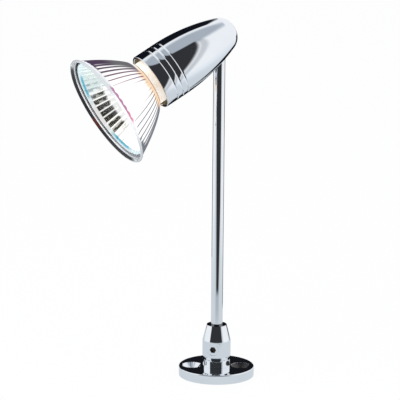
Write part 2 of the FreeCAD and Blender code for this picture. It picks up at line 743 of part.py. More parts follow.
def facetedForm(rings):
    """Solid of flat facets between rings of corners, closed by a flat face at each end."""
    faces = [Part.Face(Part.makePolygon(ring + ring[:1])) for ring in (rings[0], rings[-1])]
    for ring, following in zip(rings, rings[1:]):
        for step in range(len(ring)):
            after = (step + 1) % len(ring)
            faces.append(Part.Face(Part.makePolygon(
                [ring[step], ring[after], following[after], following[step], ring[step]])))
    shell = Part.makeShell(faces)
    shell.sewShape()
    solid = Part.Solid(shell)
    if solid.Volume < 0:
        solid.reverse()
    return solid


def ringOf(count, radius, depth, share=0.0):
    """Corners round a circle; every second one is drawn in by a share of the radius."""
    corners = []
    for step in range(count):
        reach = radius * (1 - share * (step % 2))
        angle = 2 * math.pi * step / count
        corners.append(FreeCAD.Vector(reach * math.cos(angle), reach * math.sin(angle), depth))
    return corners


def oblong(tall, wide, roundness, start, end):
    """Upright block with rounded corners, tall along Y and wide along X."""
    block = Part.makeBox(wide, tall, end - start, FreeCAD.Vector(-wide / 2, -tall / 2, start))
    uprights = [edge for edge in block.Edges if edge.BoundBox.ZLength > (end - start) / 2]
    return block.makeFillet(roundness, uprights)


def lampReflector():
    """Pressed glass bowl: flutes outside, facets inside, a rolled rim and an oblong neck."""
    flutes = int(size("fluteCount"))
    deep, rows = size(bowlDeep), int(size("facetRows"))
    rimThick, inset = size("rimThick"), size("bowlInset")
    spans, rimRadius, roll = rows // 2, size("rimDia") / 2, size("rimRoll")
    outside = [ringOf(2 * flutes, rimRadius - back, depth) for back, depth in (
        (roll, 0), (roll / 4, roll / 4), (0, roll), (0, rimThick - roll), (roll, rimThick))]
    for step in range(spans + 1):
        depth = rimThick + (deep - rimThick) * (step / spans) ** 0.85
        outside.append(ringOf(2 * flutes, bowlRadius(depth, 0), depth, size("fluteShare")))
    bowl = facetedForm(outside)
    neckTall, neckWide, neckRound = size("neckTall"), size("neckWide"), size("neckRound")
    neck = oblong(neckTall, neckWide, neckRound, deep - neckRound, size(neckEnd))
    glassBack = size("glassSink + glassThick")
    hollowEnd = size(bulbBack) + size("bulbWall / 2")
    inside = []
    last = size("bowlApex") - inset - (size("bulbDia") / 2 + size("bulbWall")) ** 2 / size("bowlCurve")
    for step in range(rows + 1):
        depth = glassBack + (last - glassBack) * step / rows
        inside.append(ringOf(flutes, bowlRadius(depth, inset), depth))
    seat = Part.makeCylinder(size("glassDia / 2 + glassPlay"), glassBack)
    wall = size("neckWall")
    throat = Part.makeCylinder(size("bulbDia") / 2 + size("bulbWall"), hollowEnd - last + wall,
                               FreeCAD.Vector(0, 0, last - wall / 2))
    pocket = oblong(neckTall - 2 * wall, neckWide - 2 * wall, neckRound - wall,
                    size(cementFront), size(neckEnd))
    glass = bowl.fuse(neck).cut([facetedForm(inside), seat, throat, pocket])
    item = doc.addObject("Part::Feature", "ReflectorGlass")
    item.Shape = glass
    node(item, "lamp_reflector", lampPlace)


def frontGlass():
    glass = primitive("Cylinder", "FrontDisc", Radius="glassDia / 2", Height="glassThick",
                      Placement=at(up="glassSink"))
    moved = doc.addObject("Part::Compound", "FrontGlass")
    moved.Links = [glass]
    node(moved, "front_glass", lampPlace)


def quartzBulb():
    """Quartz bulb with a round tip towards the rim and a flat pinch in the cement."""
    body = newBody("BulbTurning")
    for inset, kind, bands in (("0", "Revolution", 3), ("bulbWall", "Groove", 1)):
        half = newSketch(body, "XZ_Plane")
        dome = [f"(90 * {step} / {bands})" for step in range(bands + 1)]
        radius = f"(bulbDia / 2 - {inset})"
        outline(half, [(f"{radius} * sin({angle})", f"{bulbFront} + bulbDia / 2 - {radius} * cos({angle})")
                       for angle in dome]
                + [(radius, f"{bulbBack} - {inset}"), ("0", f"{bulbBack} - {inset}")])
        spin(body, half, kind)
    pinch = newSketch(body, "XY_Plane", f"{bulbBack} - bulbWall")
    rectangle(pinch, "-pinchThick / 2", "pinchThick / 2", "-pinchWide / 2", "pinchWide / 2")
    feature(body, "Pad", pinch, Length="pinchDeep + bulbGap + bulbWall")
    node(body, "quartz_bulb", lampPlace)


def lampCement():
    """Cement that fills the neck round the bulb's pinch and the pins."""
    wall = size("neckWall")
    start, end = size(cementFront), size(neckEnd)
    block = oblong(size("neckTall") - 2 * wall, size("neckWide") - 2 * wall, size("neckRound") - wall,
                   start, end)
    pinch = Part.makeBox(size("pinchThick"), size("pinchWide"), size("pinchDeep"),
                         FreeCAD.Vector(-size("pinchThick / 2"), -size("pinchWide / 2"), start))
    pins = [Part.makeCylinder(size("pinDia / 2"), size("pinHold"),
                              FreeCAD.Vector(0, side * size("pinPitch / 2"), size(pinRoot)))
            for side in (-1, 1)]
    item = doc.addObject("Part::Feature", "NeckCement")
    item.Shape = block.cut([pinch] + pins)
    node(item, "lamp_cement", lampPlace)


def lampPins():
    pins = []
    for name, side in (("PinUpper", "-"), ("PinLower", "")):
        pins.append(primitive("Cylinder", name, at("0", side + "pinPitch / 2", pinRoot),
                              Radius="pinDia / 2", Height="pinHold + pinReach"))
    pair = doc.addObject("Part::Compound", "PinPair")
    pair.Links = pins
    node(pair, "lamp_pins", lampPlace)


def filament():
    """Coil across the focus, carried by two legs from the pinch."""
    focus = "bowlApex - bowlInset - bowlCurve / 4"
    coil = primitive("Prism", "Coil", at("0", "-coilLength / 2", focus, "1; 0; 0", "-90"),
                     Circumradius="coilDia / 2", Height="coilLength")
    legs = []
    for name, side in (("LegUpper", "-"), ("LegLower", "")):
        legs.append(primitive("Prism", name, at("0", f"{side}(coilLength - legDia) / 2", focus),
                              Circumradius="legDia / 2", Height=f"{bulbBack} - bulbWall - ({focus})"))
    node(fuse("FilamentWire", coil, *legs), "filament", lampPlace)


# ---- Leads ----

def leadSolid(points, radius):
    """An eight-sided lead along straight runs joined by tangent arcs."""
    edges, begun = [], points[0]
    for before, corner, after in zip(points, points[1:], points[2:]):
        back, on = (before - corner), (after - corner)
        shorter = min(back.Length, on.Length)
        back.normalize()
        on.normalize()
        turn = math.pi - back.getAngle(on)
        trim = 0.45 * shorter
        bend = trim / math.tan(turn / 2)
        middle = back + on
        middle.normalize()
        start, end = corner + back * trim, corner + on * trim
        top = corner + middle * (math.hypot(bend, trim) - bend)
        edges += [Part.LineSegment(begun, start).toShape(), Part.Arc(start, top, end).toShape()]
        begun = end
    edges.append(Part.LineSegment(begun, points[-1]).toShape())
    wire = Part.Wire(edges)
    way = FreeCAD.Rotation(FreeCAD.Vector(0, 0, 1), points[1] - points[0])
    sides = 8
    ring = []
    for step in range(sides):
        angle = 2 * math.pi * (step + 0.5) / sides
        ring.append(points[0] + way.multVec(FreeCAD.Vector(math.cos(angle), math.sin(angle), 0)) * radius)
    return wire.makePipeShell([Part.makePolygon(ring + ring[:1])], True, False)


def stemLeads():
    """Two leads side by side up the front half of the stem's bore."""
    leads = []
    front = "-(leadDia / 2 + leadPlay)"
    for name, side in (("LeadLeft", "-"), ("LeadRight", "")):
        lead = primitive("Prism", name, at(f"{side}(leadDia + leadPlay) / 2", front, "nippleLift"),
                         Circumradius="leadDia / 2", Height="pivotHeight - stemShort - nippleLift")
        lead.Polygon = 8
        leads.append(lead)
    pair = doc.addObject("Part::Compound", "StemLeadPair")
    pair.Links = leads
    node(pair, "stem_leads")


def headLeads():
    """The leads' flexing ends, from the stem's mouth through the yoke to the contact sleeves."""
    lead = size("leadDia")
    dip = math.radians(size("headDip"))
    spread = (lead + size("leadPlay")) / 2
    front = -(lead / 2 + size("leadPlay"))
    short = size("stemShort")
    sleeveEnd = size("holderBack - (holderDeep - sleeveLength) / 2")
    setback = size(pivotSetback)

    def fromStem(across, along, rise):
        """A point by the stem, measured from the pivot, given in the head frame."""
        back = along * math.cos(dip) + rise * math.sin(dip)
        down = along * math.sin(dip) - rise * math.cos(dip)
        return FreeCAD.Vector(across, down, setback + back)

    solids = []
    for side in (-1, 1):
        contact = side * size("pinPitch / 2")
        points = [
            FreeCAD.Vector(0, contact, sleeveEnd),
            FreeCAD.Vector(0, contact, sleeveEnd + size("leadStraight")),
            fromStem(side * spread, -size("leadForward"), -size("leadUnder")),
            fromStem(side * spread, front, size("leadRise") - short),
            fromStem(side * spread, front, -short)]
        solids.append(leadSolid(points, lead / 2))
    item = doc.addObject("Part::Feature", "HeadLeadPair")
    item.Shape = Part.makeCompound(solids)
    node(item, "head_leads", headPlace)


def build():
    for make in (basePlate, footNipple, footNut, lockWasher, collar, setScrew, stemTube, cableBush, knuckle,
                 stemLeads, headHousing, yoke, pivotScrew, pivotNut, frictionWashers, shellScrew, lampholder,
                 contactSleeves, holderScrews, headLeads, lampReflector, frontGlass, quartzBulb, lampCement,
                 lampPins, filament):
        make()
    doc.recompute()
    for item in doc.Objects:
        if "Invalid" in item.State or "Error" in item.State:
            raise RuntimeError(f"{item.Label} is {item.State}")
    for item in nodes:
        if item.Shape.isNull() or not item.Shape.isValid():
            raise RuntimeError(f"{item.Label} has no valid shape")
    os.makedirs("parts", exist_ok=True)
    for item in nodes:
        item.Shape.exportStep(f"parts/{item.Label}.step")
        print(f"{item.Label}: {len(item.Shape.Solids)} solid(s), {item.Shape.Volume:.1f} mm3")


build()
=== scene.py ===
import bpy
import bmesh
import math
from mathutils import Matrix, Vector


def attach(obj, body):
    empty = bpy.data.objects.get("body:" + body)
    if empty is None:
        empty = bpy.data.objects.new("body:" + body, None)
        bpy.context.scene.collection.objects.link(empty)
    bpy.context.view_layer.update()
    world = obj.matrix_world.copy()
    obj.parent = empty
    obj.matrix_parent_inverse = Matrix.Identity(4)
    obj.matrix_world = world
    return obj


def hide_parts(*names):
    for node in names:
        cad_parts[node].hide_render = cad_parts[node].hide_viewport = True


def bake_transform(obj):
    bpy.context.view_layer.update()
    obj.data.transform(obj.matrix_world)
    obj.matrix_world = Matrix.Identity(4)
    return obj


# A chromed stem spotlight with its reflector lamp lit. Lengths in the dictionaries are millimetres. In the
# studio and the looks, a pair of numbers is a soft edge: the value where it is 0, then the value where it is 1

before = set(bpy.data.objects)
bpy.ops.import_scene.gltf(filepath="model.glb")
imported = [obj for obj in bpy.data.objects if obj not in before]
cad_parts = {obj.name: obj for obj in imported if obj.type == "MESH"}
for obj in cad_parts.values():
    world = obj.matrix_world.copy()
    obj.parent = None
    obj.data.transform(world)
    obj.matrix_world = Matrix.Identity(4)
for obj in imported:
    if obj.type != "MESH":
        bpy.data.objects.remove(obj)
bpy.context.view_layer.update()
mm = 0.001
inDegrees = 180 / math.pi
onAxis = 1e-6   # a radius below this is a point on the axis
hair = 0.01     # keeps a test of faces clear of a face that lies on its limit
weld = 0.001    # vertices nearer than this are one

head = dict(dip=27.0, pivotHeight=149.0, pivotSetback=36.5, rimAhead=23.5)
unturned = Matrix.Identity(4)


def shifted(x, y, z):
    return Matrix.Translation(Vector((x, y, z)) * mm)


# A frame on the head's axis: its origin lies a setback in front of the tilt axis, +Z runs to the tail
def alongHead(setback):
    dip = math.radians(head["dip"])
    place = shifted(0, -setback * math.cos(dip), head["pivotHeight"] - setback * math.sin(dip))
    return place @ Matrix.Rotation(dip - math.pi / 2, 4, "X")


headFrame = alongHead(head["pivotSetback"])
lampFrame = alongHead(head["pivotSetback"] + head["rimAhead"])


def polar(radius, degrees):
    turn = math.radians(degrees)
    return radius * math.cos(turn), radius * math.sin(turn)


def placed(name, data):
    item = bpy.data.objects.new(name, data)
    bpy.context.scene.collection.objects.link(item)
    return item


# Camera

view = dict(
    azimuth=-26.6, rise=15.56, roll=0.55, distance=4000, frameWide=169.56, aim=(0, 0, 100), aimAcross=-7.84,
    aimUp=-22.04, sensor=36)


def makeCamera():
    v = view
    lift, roll = math.radians(v["rise"]), math.radians(v["roll"])
    back = Vector((*polar(math.cos(lift), v["azimuth"]), math.sin(lift)))
    level = Vector((0, 0, 1)).cross(back).normalized()
    over = back.cross(level)
    right = level * math.cos(roll) + over * math.sin(roll)
    up = over * math.cos(roll) - level * math.sin(roll)
    target = (Vector(v["aim"]) + right * v["aimAcross"] + up * v["aimUp"]) * mm
    data = bpy.data.cameras.new("camera")
    data.sensor_width = v["sensor"]
    data.lens = v["sensor"] * v["distance"] / v["frameWide"]
    data.clip_start = 0.1
    data.clip_end = 30
    camera = placed("camera", data)
    turn = Matrix((right, up, back)).transposed().to_4x4()
    camera.matrix_world = Matrix.Translation(target + back * v["distance"] * mm) @ turn
    bpy.context.scene.camera = camera


# Node trees: a socket that takes arithmetic, and one method that adds any node

class Value:
    def __init__(self, maker, socket):
        self.maker = maker
        self.socket = socket

    def step(self, operation, other=None):
        inputs = {0: self} if other is None else {0: self, 1: other}
        return self.maker.add("ShaderNodeMath", dict(operation=operation), inputs).value()

    def __add__(self, other):
        return self.step("ADD", other)

    def __sub__(self, other):
        return self.step("SUBTRACT", other)

    def __rsub__(self, other):
        return (self * -1).step("ADD", other)

    def __mul__(self, other):
        return self.step("MULTIPLY", other)

    def __truediv__(self, other):
        return self.step("DIVIDE", other)

    def __pow__(self, other):
        return self.step("POWER", other)

    __radd__ = __add__
    __rmul__ = __mul__

    # 0 at low and 1 at high with a soft run between; low may be the larger
    def over(self, low, high):
        return self.maker.add("ShaderNodeMapRange", dict(interpolation_type="SMOOTHSTEP"),
                              {"Value": self, "From Min": low, "From Max": high}).value()


class Node:
    def __init__(self, maker, node):
        self.maker = maker
        self.node = node

    def out(self, name=0):
        return self.node.outputs[name]

    def value(self, name=0):
        return Value(self.maker, self.node.outputs[name])


class Maker:
    def __init__(self, tree):
        self.tree = tree
        tree.nodes.clear()

    def add(self, kind, settings=None, inputs=None):
        node = self.tree.nodes.new(kind)
        for name, value in (settings or {}).items():
            setattr(node, name, value)
        for name, value in (inputs or {}).items():
            self.feed(node.inputs[name], value)
        return Node(self, node)

    def feed(self, socket, value):
        if isinstance(value, Node):
            value = value.out()
        elif isinstance(value, Value):
            value = value.socket
        if isinstance(value, bpy.types.NodeSocket):
            self.tree.links.new(value, socket)
        elif socket.type == "RGBA":
            socket.default_value = (*value, 1)
        else:
            socket.default_value = value

    def mixColour(self, factor, first, second):
        return self.add("ShaderNodeMix", dict(data_type="RGBA"), {0: factor, 6: first, 7: second}).out(2)

    def split(self, vector):
        node = self.add("ShaderNodeSeparateXYZ", None, {0: vector})
        return [node.value(axis) for axis in range(3)]

    def mixShader(self, factor, first, second):
        return self.add("ShaderNodeMixShader", None, {0: factor, 1: first, 2: second})

    def background(self, colour, strength=1.0):
        return self.add("ShaderNodeBackground", None, {"Color": colour, "Strength": strength})

    def emission(self, colour):
        return self.add("ShaderNodeEmission", None, {"Color": colour, "Strength": 1.0})


def newMaterial(name):
    material = bpy.data.materials.new(name)
    material.use_nodes = True
    return material, Maker(material.node_tree)


# The studio: white all round, a dark room behind the camera, a dark edge over the backdrop. Edges are in
# degrees round or up; all colours but the daylight are for what shows in polish

studio = dict(
    roomWest=(-86, -80), roomEast=(24, 18), roomTop=(74, 69), room=(0.032, 0.034, 0.038), edgeWest=(155, 159),
    edgeEast=(204, 200), edgeFoot=(-20, -14), edgeTop=(55, 50), edge=(0.006, 0.007, 0.012), haloWest=(22, 25),
    haloEast=(34, 28), haloTop=(76, 66), haloShare=0.55, halo=(0.35, 0.38, 0.42), sky=(0.93, 0.95, 0.98),
    zenithRise=(56, 72), zenith=(0.42, 0.47, 0.53), groundRise=(-12, -35), ground=(0.78, 0.84, 0.9),
    daylight=(0.92, 0.95, 1.0), daylightStrength=0.8)


def azimuthOf(x, y):
    return y.step("ARCTAN2", x) * inDegrees


def towardsRoom(azimuth):
    return azimuth.over(*studio["roomWest"]) * azimuth.over(*studio["roomEast"])


def makeWorld():
    s = studio
    world = bpy.data.worlds.new("studio")
    bpy.context.scene.world = world
    world.use_nodes = True
    make = Maker(world.node_tree)
    x, y, z = make.split(make.add("ShaderNodeTexCoord").out("Generated"))
    azimuth = azimuthOf(x, y)
    rise = z.step("ARCSINE") * inDegrees
    behind = azimuth + 360 * azimuth.step("LESS_THAN", 0)
    room = towardsRoom(azimuth) * rise.over(*s["roomTop"])
    halo = azimuth.over(*s["haloWest"]) * azimuth.over(*s["haloEast"]) * rise.over(*s["haloTop"])
    edge = behind.over(*s["edgeWest"]) * behind.over(*s["edgeEast"])
    edge = edge * rise.over(*s["edgeFoot"]) * rise.over(*s["edgeTop"])
    sky = make.mixColour(rise.over(*s["zenithRise"]), s["sky"], s["zenith"])
    sky = make.mixColour(rise.over(*s["groundRise"]), sky, s["ground"])
    sky = make.mixColour(halo * s["haloShare"], sky, s["halo"])
    sky = make.mixColour(room, sky, s["room"])
    sky = make.mixColour(edge, sky, s["edge"])
    light = make.add("ShaderNodeLightPath")
    seen = light.value("Is Camera Ray").step("MAXIMUM", light.value("Is Transmission Ray"))
    glossy = light.value("Is Glossy Ray") * (1 - light.value("Is Transmission Ray"))
    lit = make.mixShader(glossy, make.background(s["daylight"], s["daylightStrength"]), make.background(sky))
    make.add("ShaderNodeOutputWorld", None, {0: make.mixShader(seen, lit, make.background((1, 1, 1)))})


# The floor is white to the camera but for the shadow; polish sees it as a glowing pale table with a darker patch
# and a dark shade painted on for the chrome to reflect, open beyond its edge and in a wedge that widens with the
# distance from the stem

table = dict(
    radius=1200, drop=0.02, paint=(0.9, 0.91, 0.92), whiteShare=0.93, open=(112, 300), wedgeWest=-45,
    wedgeEast=3, wedgeAt=149, westDrift=0.093, eastDrift=0.135, wedgeSoft=3, wedgeStart=(121, 137),
    top=(0.66, 0.71, 0.75), dimmed=(0.46, 0.5, 0.54), dimmedReach=(60, 110), dimmedTurn=-24, dimmedWide=(55, 12),
    shadeReach=(98, 112), shadeStart=(100, 110), shadeEnd=(172, 164))


def makeFloor():
    t = table
    bpy.ops.mesh.primitive_circle_add(vertices=96, radius=t["radius"] * mm, fill_type="NGON",
                                      location=(0, 0, -t["drop"] * mm))
    floor = bpy.context.object
    floor.name = "floor"
    material, make = newMaterial("paleFloor")
    light = make.add("ShaderNodeLightPath")
    x, y = make.split(make.add("ShaderNodeTexCoord").out("Object"))[:2]
    reach = (x ** 2 + y ** 2) ** 0.5 * (1 / mm)
    azimuth = azimuthOf(x, y)
    west = t["wedgeWest"] - t["westDrift"] * (reach - t["wedgeAt"])
    east = t["wedgeEast"] + t["eastDrift"] * (reach - t["wedgeAt"])
    soft = t["wedgeSoft"]
    wedge = azimuth.over(west - soft, west + soft) * azimuth.over(east + soft, east - soft)
    wedge = wedge * reach.over(*t["wedgeStart"])
    beyond = wedge + (1 - towardsRoom(azimuth)) * reach.over(*t["open"])
    # Painted for the chrome to reflect: a darker patch on the table, and a dark shade
    dimmed = reach.over(*t["dimmedReach"]) * (azimuth - t["dimmedTurn"]).step("ABSOLUTE").over(*t["dimmedWide"])
    shade = reach.over(*t["shadeReach"]) * azimuth.over(*t["shadeStart"]) * azimuth.over(*t["shadeEnd"])
    white = light.value("Is Camera Ray") * t["whiteShare"]
    paint = make.add("ShaderNodeBsdfDiffuse", None, {"Color": t["paint"]})
    shown = make.mixShader(white, paint, make.emission((1, 1, 1)))
    top = make.emission(make.mixColour(dimmed, t["top"], t["dimmed"]))
    polish = make.mixShader(beyond, top, make.add("ShaderNodeBsdfTransparent"))
    polish = make.mixShader(shade, polish, make.emission(studio["edge"]))
    last = make.mixShader(light.value("Is Glossy Ray"), shown, polish)
    make.add("ShaderNodeOutputMaterial", None, {0: last})
    floor.data.materials.append(material)


# A black curved card behind the object, seen only in its polish

card = dict(radius=170, foot=4, top=95, west=128, east=200, steps=24, black=(0.008, 0.009, 0.012))


def makeCard():
    c = card
    mesh = bpy.data.meshes.new("blackCard")
    points = []
    faces = []
    for step in range(c["steps"] + 1):
        side = polar(c["radius"], c["west"] + (c["east"] - c["west"]) * step / c["steps"])
        points += [Vector((*side, rise)) * mm for rise in (c["foot"], c["top"])]
        if step:
            faces.append((2 * step - 2, 2 * step, 2 * step + 1, 2 * step - 1))
    mesh.from_pydata(points, [], faces)
    material, make = newMaterial("blackCloth")
    make.add("ShaderNodeOutputMaterial", None, {0: make.emission(c["black"])})
    mesh.materials.append(material)
    sheet = placed("blackCard", mesh)
    sheet.visible_camera = sheet.visible_diffuse = sheet.visible_transmission = sheet.visible_shadow = False


lights = dict(softBox=dict(place=(250, -750, 850), wide=800, power=5.0),
              fill=dict(place=(700, 600, 500), wide=800, power=2.0))
lightsAim = (0, 0, 80)


def makeLights():
    for name, light in lights.items():
        data = bpy.data.lights.new(name, "AREA")
        data.size = light["wide"] * mm
        data.energy = light["power"]
        holder = placed(name, data)
        place = Vector(light["place"]) * mm
        holder.location = place
        aim = Vector(lightsAim) * mm - place
        holder.rotation_mode = "QUATERNION"
        holder.rotation_quaternion = aim.to_track_quat("-Z", "Y")
        holder.visible_glossy = False


# Finishes

finishes = {}
patches = dict(colour=(0.3, 0.7), roughness=(0.35, 0.7), detail=3.0, bump=0.4, bumpDetail=4.0, bumpFiner=4)


# A setting that can be called gets the maker and the piece's own coordinates
def settle(make, place, settings):
    return {key: value(make, place) if callable(value) else value for key, value in settings.items()}


def finish(key, name, settings, veil=None, under=None):
    material, make = newMaterial(name)
    place = make.add("ShaderNodeTexCoord").out("Object")
    shader = make.add("ShaderNodeBsdfPrincipled", None, settle(make, place, settings))
    if veil:
        lower = make.add("ShaderNodeBsdfPrincipled", None, settle(make, place, under))
        shader = make.mixShader(veil(make, place), lower, shader)
    make.add("ShaderNodeOutputMaterial", None, {0: shader})
    finishes[key] = material


def noise(make, place, scale, detail=patches["detail"]):
    return make.add("ShaderNodeTexNoise", None, {"Vector": place, "Scale": scale, "Detail": detail}).value()


def drift(low, high, scale):
    return lambda make, place: low + (high - low) * noise(make, place, scale).over(*patches["roughness"])


def mottle(first, second, scale):
    return lambda make, place: make.mixColour(
        noise(make, place, scale).over(*patches["colour"]), first, second)


def grain(scale, depth):
    return lambda make, place: make.add("ShaderNodeBump", None, {
        "Strength": patches["bump"], "Distance": depth * mm,
        "Height": noise(make, place, scale, patches["bumpDetail"])}).out()


def metal(key, name, first, second, low, high, scale=600):
    finish(key, name, {"Base Color": mottle(first, second, scale), "Metallic": 1.0,
                       "Roughness": drift(low, high, scale)})


def matt(key, name, first, second, low, high, scale, depth):
    finish(key, name, {"Base Color": mottle(first, second, scale), "Roughness": drift(low, high, scale),
                       "Normal": grain(scale * patches["bumpFiner"], depth)})


def makeFinishes():
    metal("chrome", "polished chrome", (0.86, 0.88, 0.91), (0.9, 0.92, 0.94), 0.02, 0.05, 80)
    matt("inside", "housing inside", (0.12, 0.1, 0.06), (0.22, 0.19, 0.12), 0.45, 0.6, 500, 0.02)
    metal("ring", "blackened ring", (0.02, 0.022, 0.028), (0.035, 0.038, 0.045), 0.1, 0.18)
    # A darker copy of the chrome: painted shade for one countersink
    metal("dullSink", "countersink painted dark", (0.045, 0.043, 0.045), (0.085, 0.08, 0.08), 0.25, 0.4, 900)
    metal("nickel", "nickelled steel", (0.55, 0.53, 0.5), (0.66, 0.65, 0.62), 0.22, 0.4)
    metal("spring", "spring steel", (0.35, 0.35, 0.36), (0.48, 0.48, 0.48), 0.3, 0.5)
    matt("socket", "key socket", (0.03, 0.028, 0.02), (0.11, 0.105, 0.085), 0.4, 0.55, 900, 0.01)
    metal("brass", "turned brass", (0.7, 0.5, 0.2), (0.8, 0.62, 0.3), 0.25, 0.4)
    metal("wire", "lead wire", (0.6, 0.55, 0.5), (0.7, 0.66, 0.6), 0.35, 0.5)
    matt("ceramic", "holder ceramic", (0.8, 0.76, 0.68), (0.87, 0.84, 0.77), 0.55, 0.75, 250, 0.02)
    matt("cement", "lamp cement", (0.72, 0.66, 0.52), (0.82, 0.78, 0.66), 0.8, 0.95, 500, 0.05)
    matt("sleeve", "lead sleeve", (0.78, 0.77, 0.73), (0.86, 0.85, 0.82), 0.5, 0.65, 400, 0.01)


# Nodes of the frame that are shown as they are, by finish
shownNodes = dict(
    brass="foot_nipple foot_nut", spring="lock_washer friction_washers", sleeve="cable_bush stem_leads",
    nickel="stem_knuckle head_yoke pivot_screw pivot_nut housing_screw contact_sleeves holder_screws lamp_pins",
    ceramic="lampholder", cement="lamp_cement")


def dressNodes():
    for key, nodes in shownNodes.items():
        for node in nodes.split():
            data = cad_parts[node].data
            data.materials.clear()
            data.materials.append(finishes[key])


# Meshes

# Links a finished mesh as a piece that rides on a body, or on none when the body is None
def keep(name, mesh, body, keys, replaces):
    piece = placed(name, mesh)
    indices = [face.material_index for face in mesh.polygons]
    mesh.materials.clear()
    for key in keys.split():
        mesh.materials.append(finishes[key])
    mesh.polygons.foreach_set("material_index", indices)
    if body:
        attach(piece, body)
    if replaces:
        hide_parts(*replaces)
    return piece


def bridge(form, ring, following):
    for step in range(len(ring)):
        after = (step + 1) % len(ring)
        form.faces.new((ring[step], ring[after], following[after], following[step]))


# Smooth, with a sharp edge wherever the mesh bends by more than an angle
def smoothed(mesh, sharp):
    mesh.shade_smooth()
    mesh.set_sharp_from_angle(angle=math.radians(sharp))
    return mesh


# The mesh that an object's modifiers or its curve give
def evaluated(item):
    bpy.context.view_layer.update()
    return bpy.data.meshes.new_from_object(item.evaluated_get(bpy.context.evaluated_depsgraph_get()))


# Ends a bmesh with its faces outward
def close(name, form, sharp):
    bmesh.ops.recalc_face_normals(form, faces=form.faces)
    mesh = bpy.data.meshes.new(name)
    form.to_mesh(mesh)
    form.free()
    return smoothed(mesh, sharp)


# Turns a closed outline of (radius, height) about the frame's own Z axis
def turned(name, outline, place=unturned, turns=192, sharp=20):
    form = bmesh.new()
    rings = []
    for radius, height in outline:
        if radius < onAxis:
            rings.append([form.verts.new(place @ Vector((0, 0, height * mm)))])
            continue
        angles = [2 * math.pi * step / turns for step in range(turns)]
        rings.append([form.verts.new(place @ (Vector((radius * math.cos(a), radius * math.sin(a), height)) * mm))
                      for a in angles])
    for ring, following in zip(rings, rings[1:] + rings[:1]):
        if len(ring) == len(following) == 1:
            continue
        if len(ring) == len(following):
            bridge(form, ring, following)
            continue
        tip, rim = (ring, following) if len(ring) == 1 else (following, ring)
        for step in range(turns):
            form.faces.new((tip[0], rim[(step + 1) % turns], rim[step]))
    return close(name, form, sharp)


# An upright prism between two levels, from corners in the frame's XY plane
def prism(name, corners, low, high, place):
    form = bmesh.new()
    ends = [[form.verts.new(place @ (Vector((x, y, level)) * mm)) for x, y in corners] for level in (low, high)]
    bridge(form, *ends)
    for end in ends:
        form.faces.new(end)
    return close(name, form, 20)


# The outline of a tube, or of a rod with no bore
def tube(bore, radius, low, high):
    return [(bore, low), (radius, low), (radius, high), (bore, high)]


def arc(centre, radius, start, end, steps):
    spots = [polar(radius, start + (end - start) * step / steps) for step in range(steps + 1)]
    return [(centre[0] + x, centre[1] + y) for x, y in spots]


# Breaks each corner of an outline with a small flat
def softened(outline, amount=0.06):
    result = []
    for before, corner, after in zip(outline[-1:] + outline[:-1], outline, outline[1:] + outline[:1]):
        if corner[0] < onAxis:
            result.append(corner)
            continue
        for other in (before, after):
            away = Vector(other) - Vector(corner)
            result.append(tuple(Vector(corner) + away * min(amount / away.length, 0.4)))
    return result


# Cuts meshes out of a mesh; sharp edges are found again afterwards
def carved(mesh, tools, sharp=20):
    blank = placed("blank", mesh)
    cutters = [placed("cutter", tool) for tool in tools]
    for cutter in cutters:
        step = blank.modifiers.new("cut", "BOOLEAN")
        step.operation = "DIFFERENCE"
        step.solver = "EXACT"
        step.object = cutter
    result = evaluated(blank)
    for item in [blank] + cutters:
        bpy.data.objects.remove(item)
    result.name = mesh.name + "Cut"
    return smoothed(result, sharp)


# Gives the faces for which a test of their centre holds the piece's second finish
def sortFaces(mesh, place, test):
    back = place.inverted()
    for face in mesh.polygons:
        face.material_index = int(test(back @ face.center / mm, back.to_3x3() @ face.normal))


# Base plate

plate = dict(
    radius=16, thick=4, edge=0.4, boss=5.75, bossHigh=3, bore=3.55, recess=7.2, recessDeep=2.6, screwAt=10.4,
    screwHole=2.1, sink=4.2, sinkLip=0.5, sinkFoot=-1, turn=63)


def makePlate():
    p = plate
    top = p["thick"]
    low = softened([(p["bore"], p["recessDeep"]), (p["recess"], p["recessDeep"]), (p["recess"], 0),
                    (p["radius"], 0)])
    edge = arc((p["radius"] - p["edge"], top - p["edge"]), p["edge"], 0, 90, 12)
    high = softened([(p["boss"], top), (p["boss"], top + p["bossHigh"]), (p["bore"], top + p["bossHigh"])])
    blank = turned("plate", low + edge + high, turns=256, sharp=12)
    sinks = []
    lip, foot = p["sinkLip"], p["sinkFoot"]
    for side in (-1, 1):
        place = shifted(*polar(side * p["screwAt"], p["turn"]), 0)
        sinks.append(turned("sink", [
            (0, foot), (p["screwHole"], foot), (p["screwHole"], top - p["sink"] + p["screwHole"]), (p["sink"], top),
            (p["sink"] + lip, top + lip), (0, top + lip)], place, 96))
    mesh = carved(blank, sinks, 12)
    # The centre of the one countersink that is painted darker than the chrome, as painted shade
    dimmed = Vector(polar(p["screwAt"], p["turn"]))
    sortFaces(mesh, unturned, lambda at, way: (at.xy - dimmed).length < p["sink"] and hair < at.z < top - hair)
    keep("basePlate", mesh, "base", "chrome dullSink", ["base_plate"])


# Collar with its set screw

collar = dict(
    foot=7, waist=4.7, under=1.6, radius=6, straight=7, cone=6.7, top=4.25, bore=2.55, nipple=3.5, grip=2.6,
    screwRise=3.7, screwRadius=2.5, screwSink=0.2, screwPlay=0.015, screwTurn=-42, key=2.5, keyDeep=1.8,
    keyPast=1, holeStart=0.5, holeEnd=9, ring=0.08, ringRise=0.3, screwBreak=0.04)


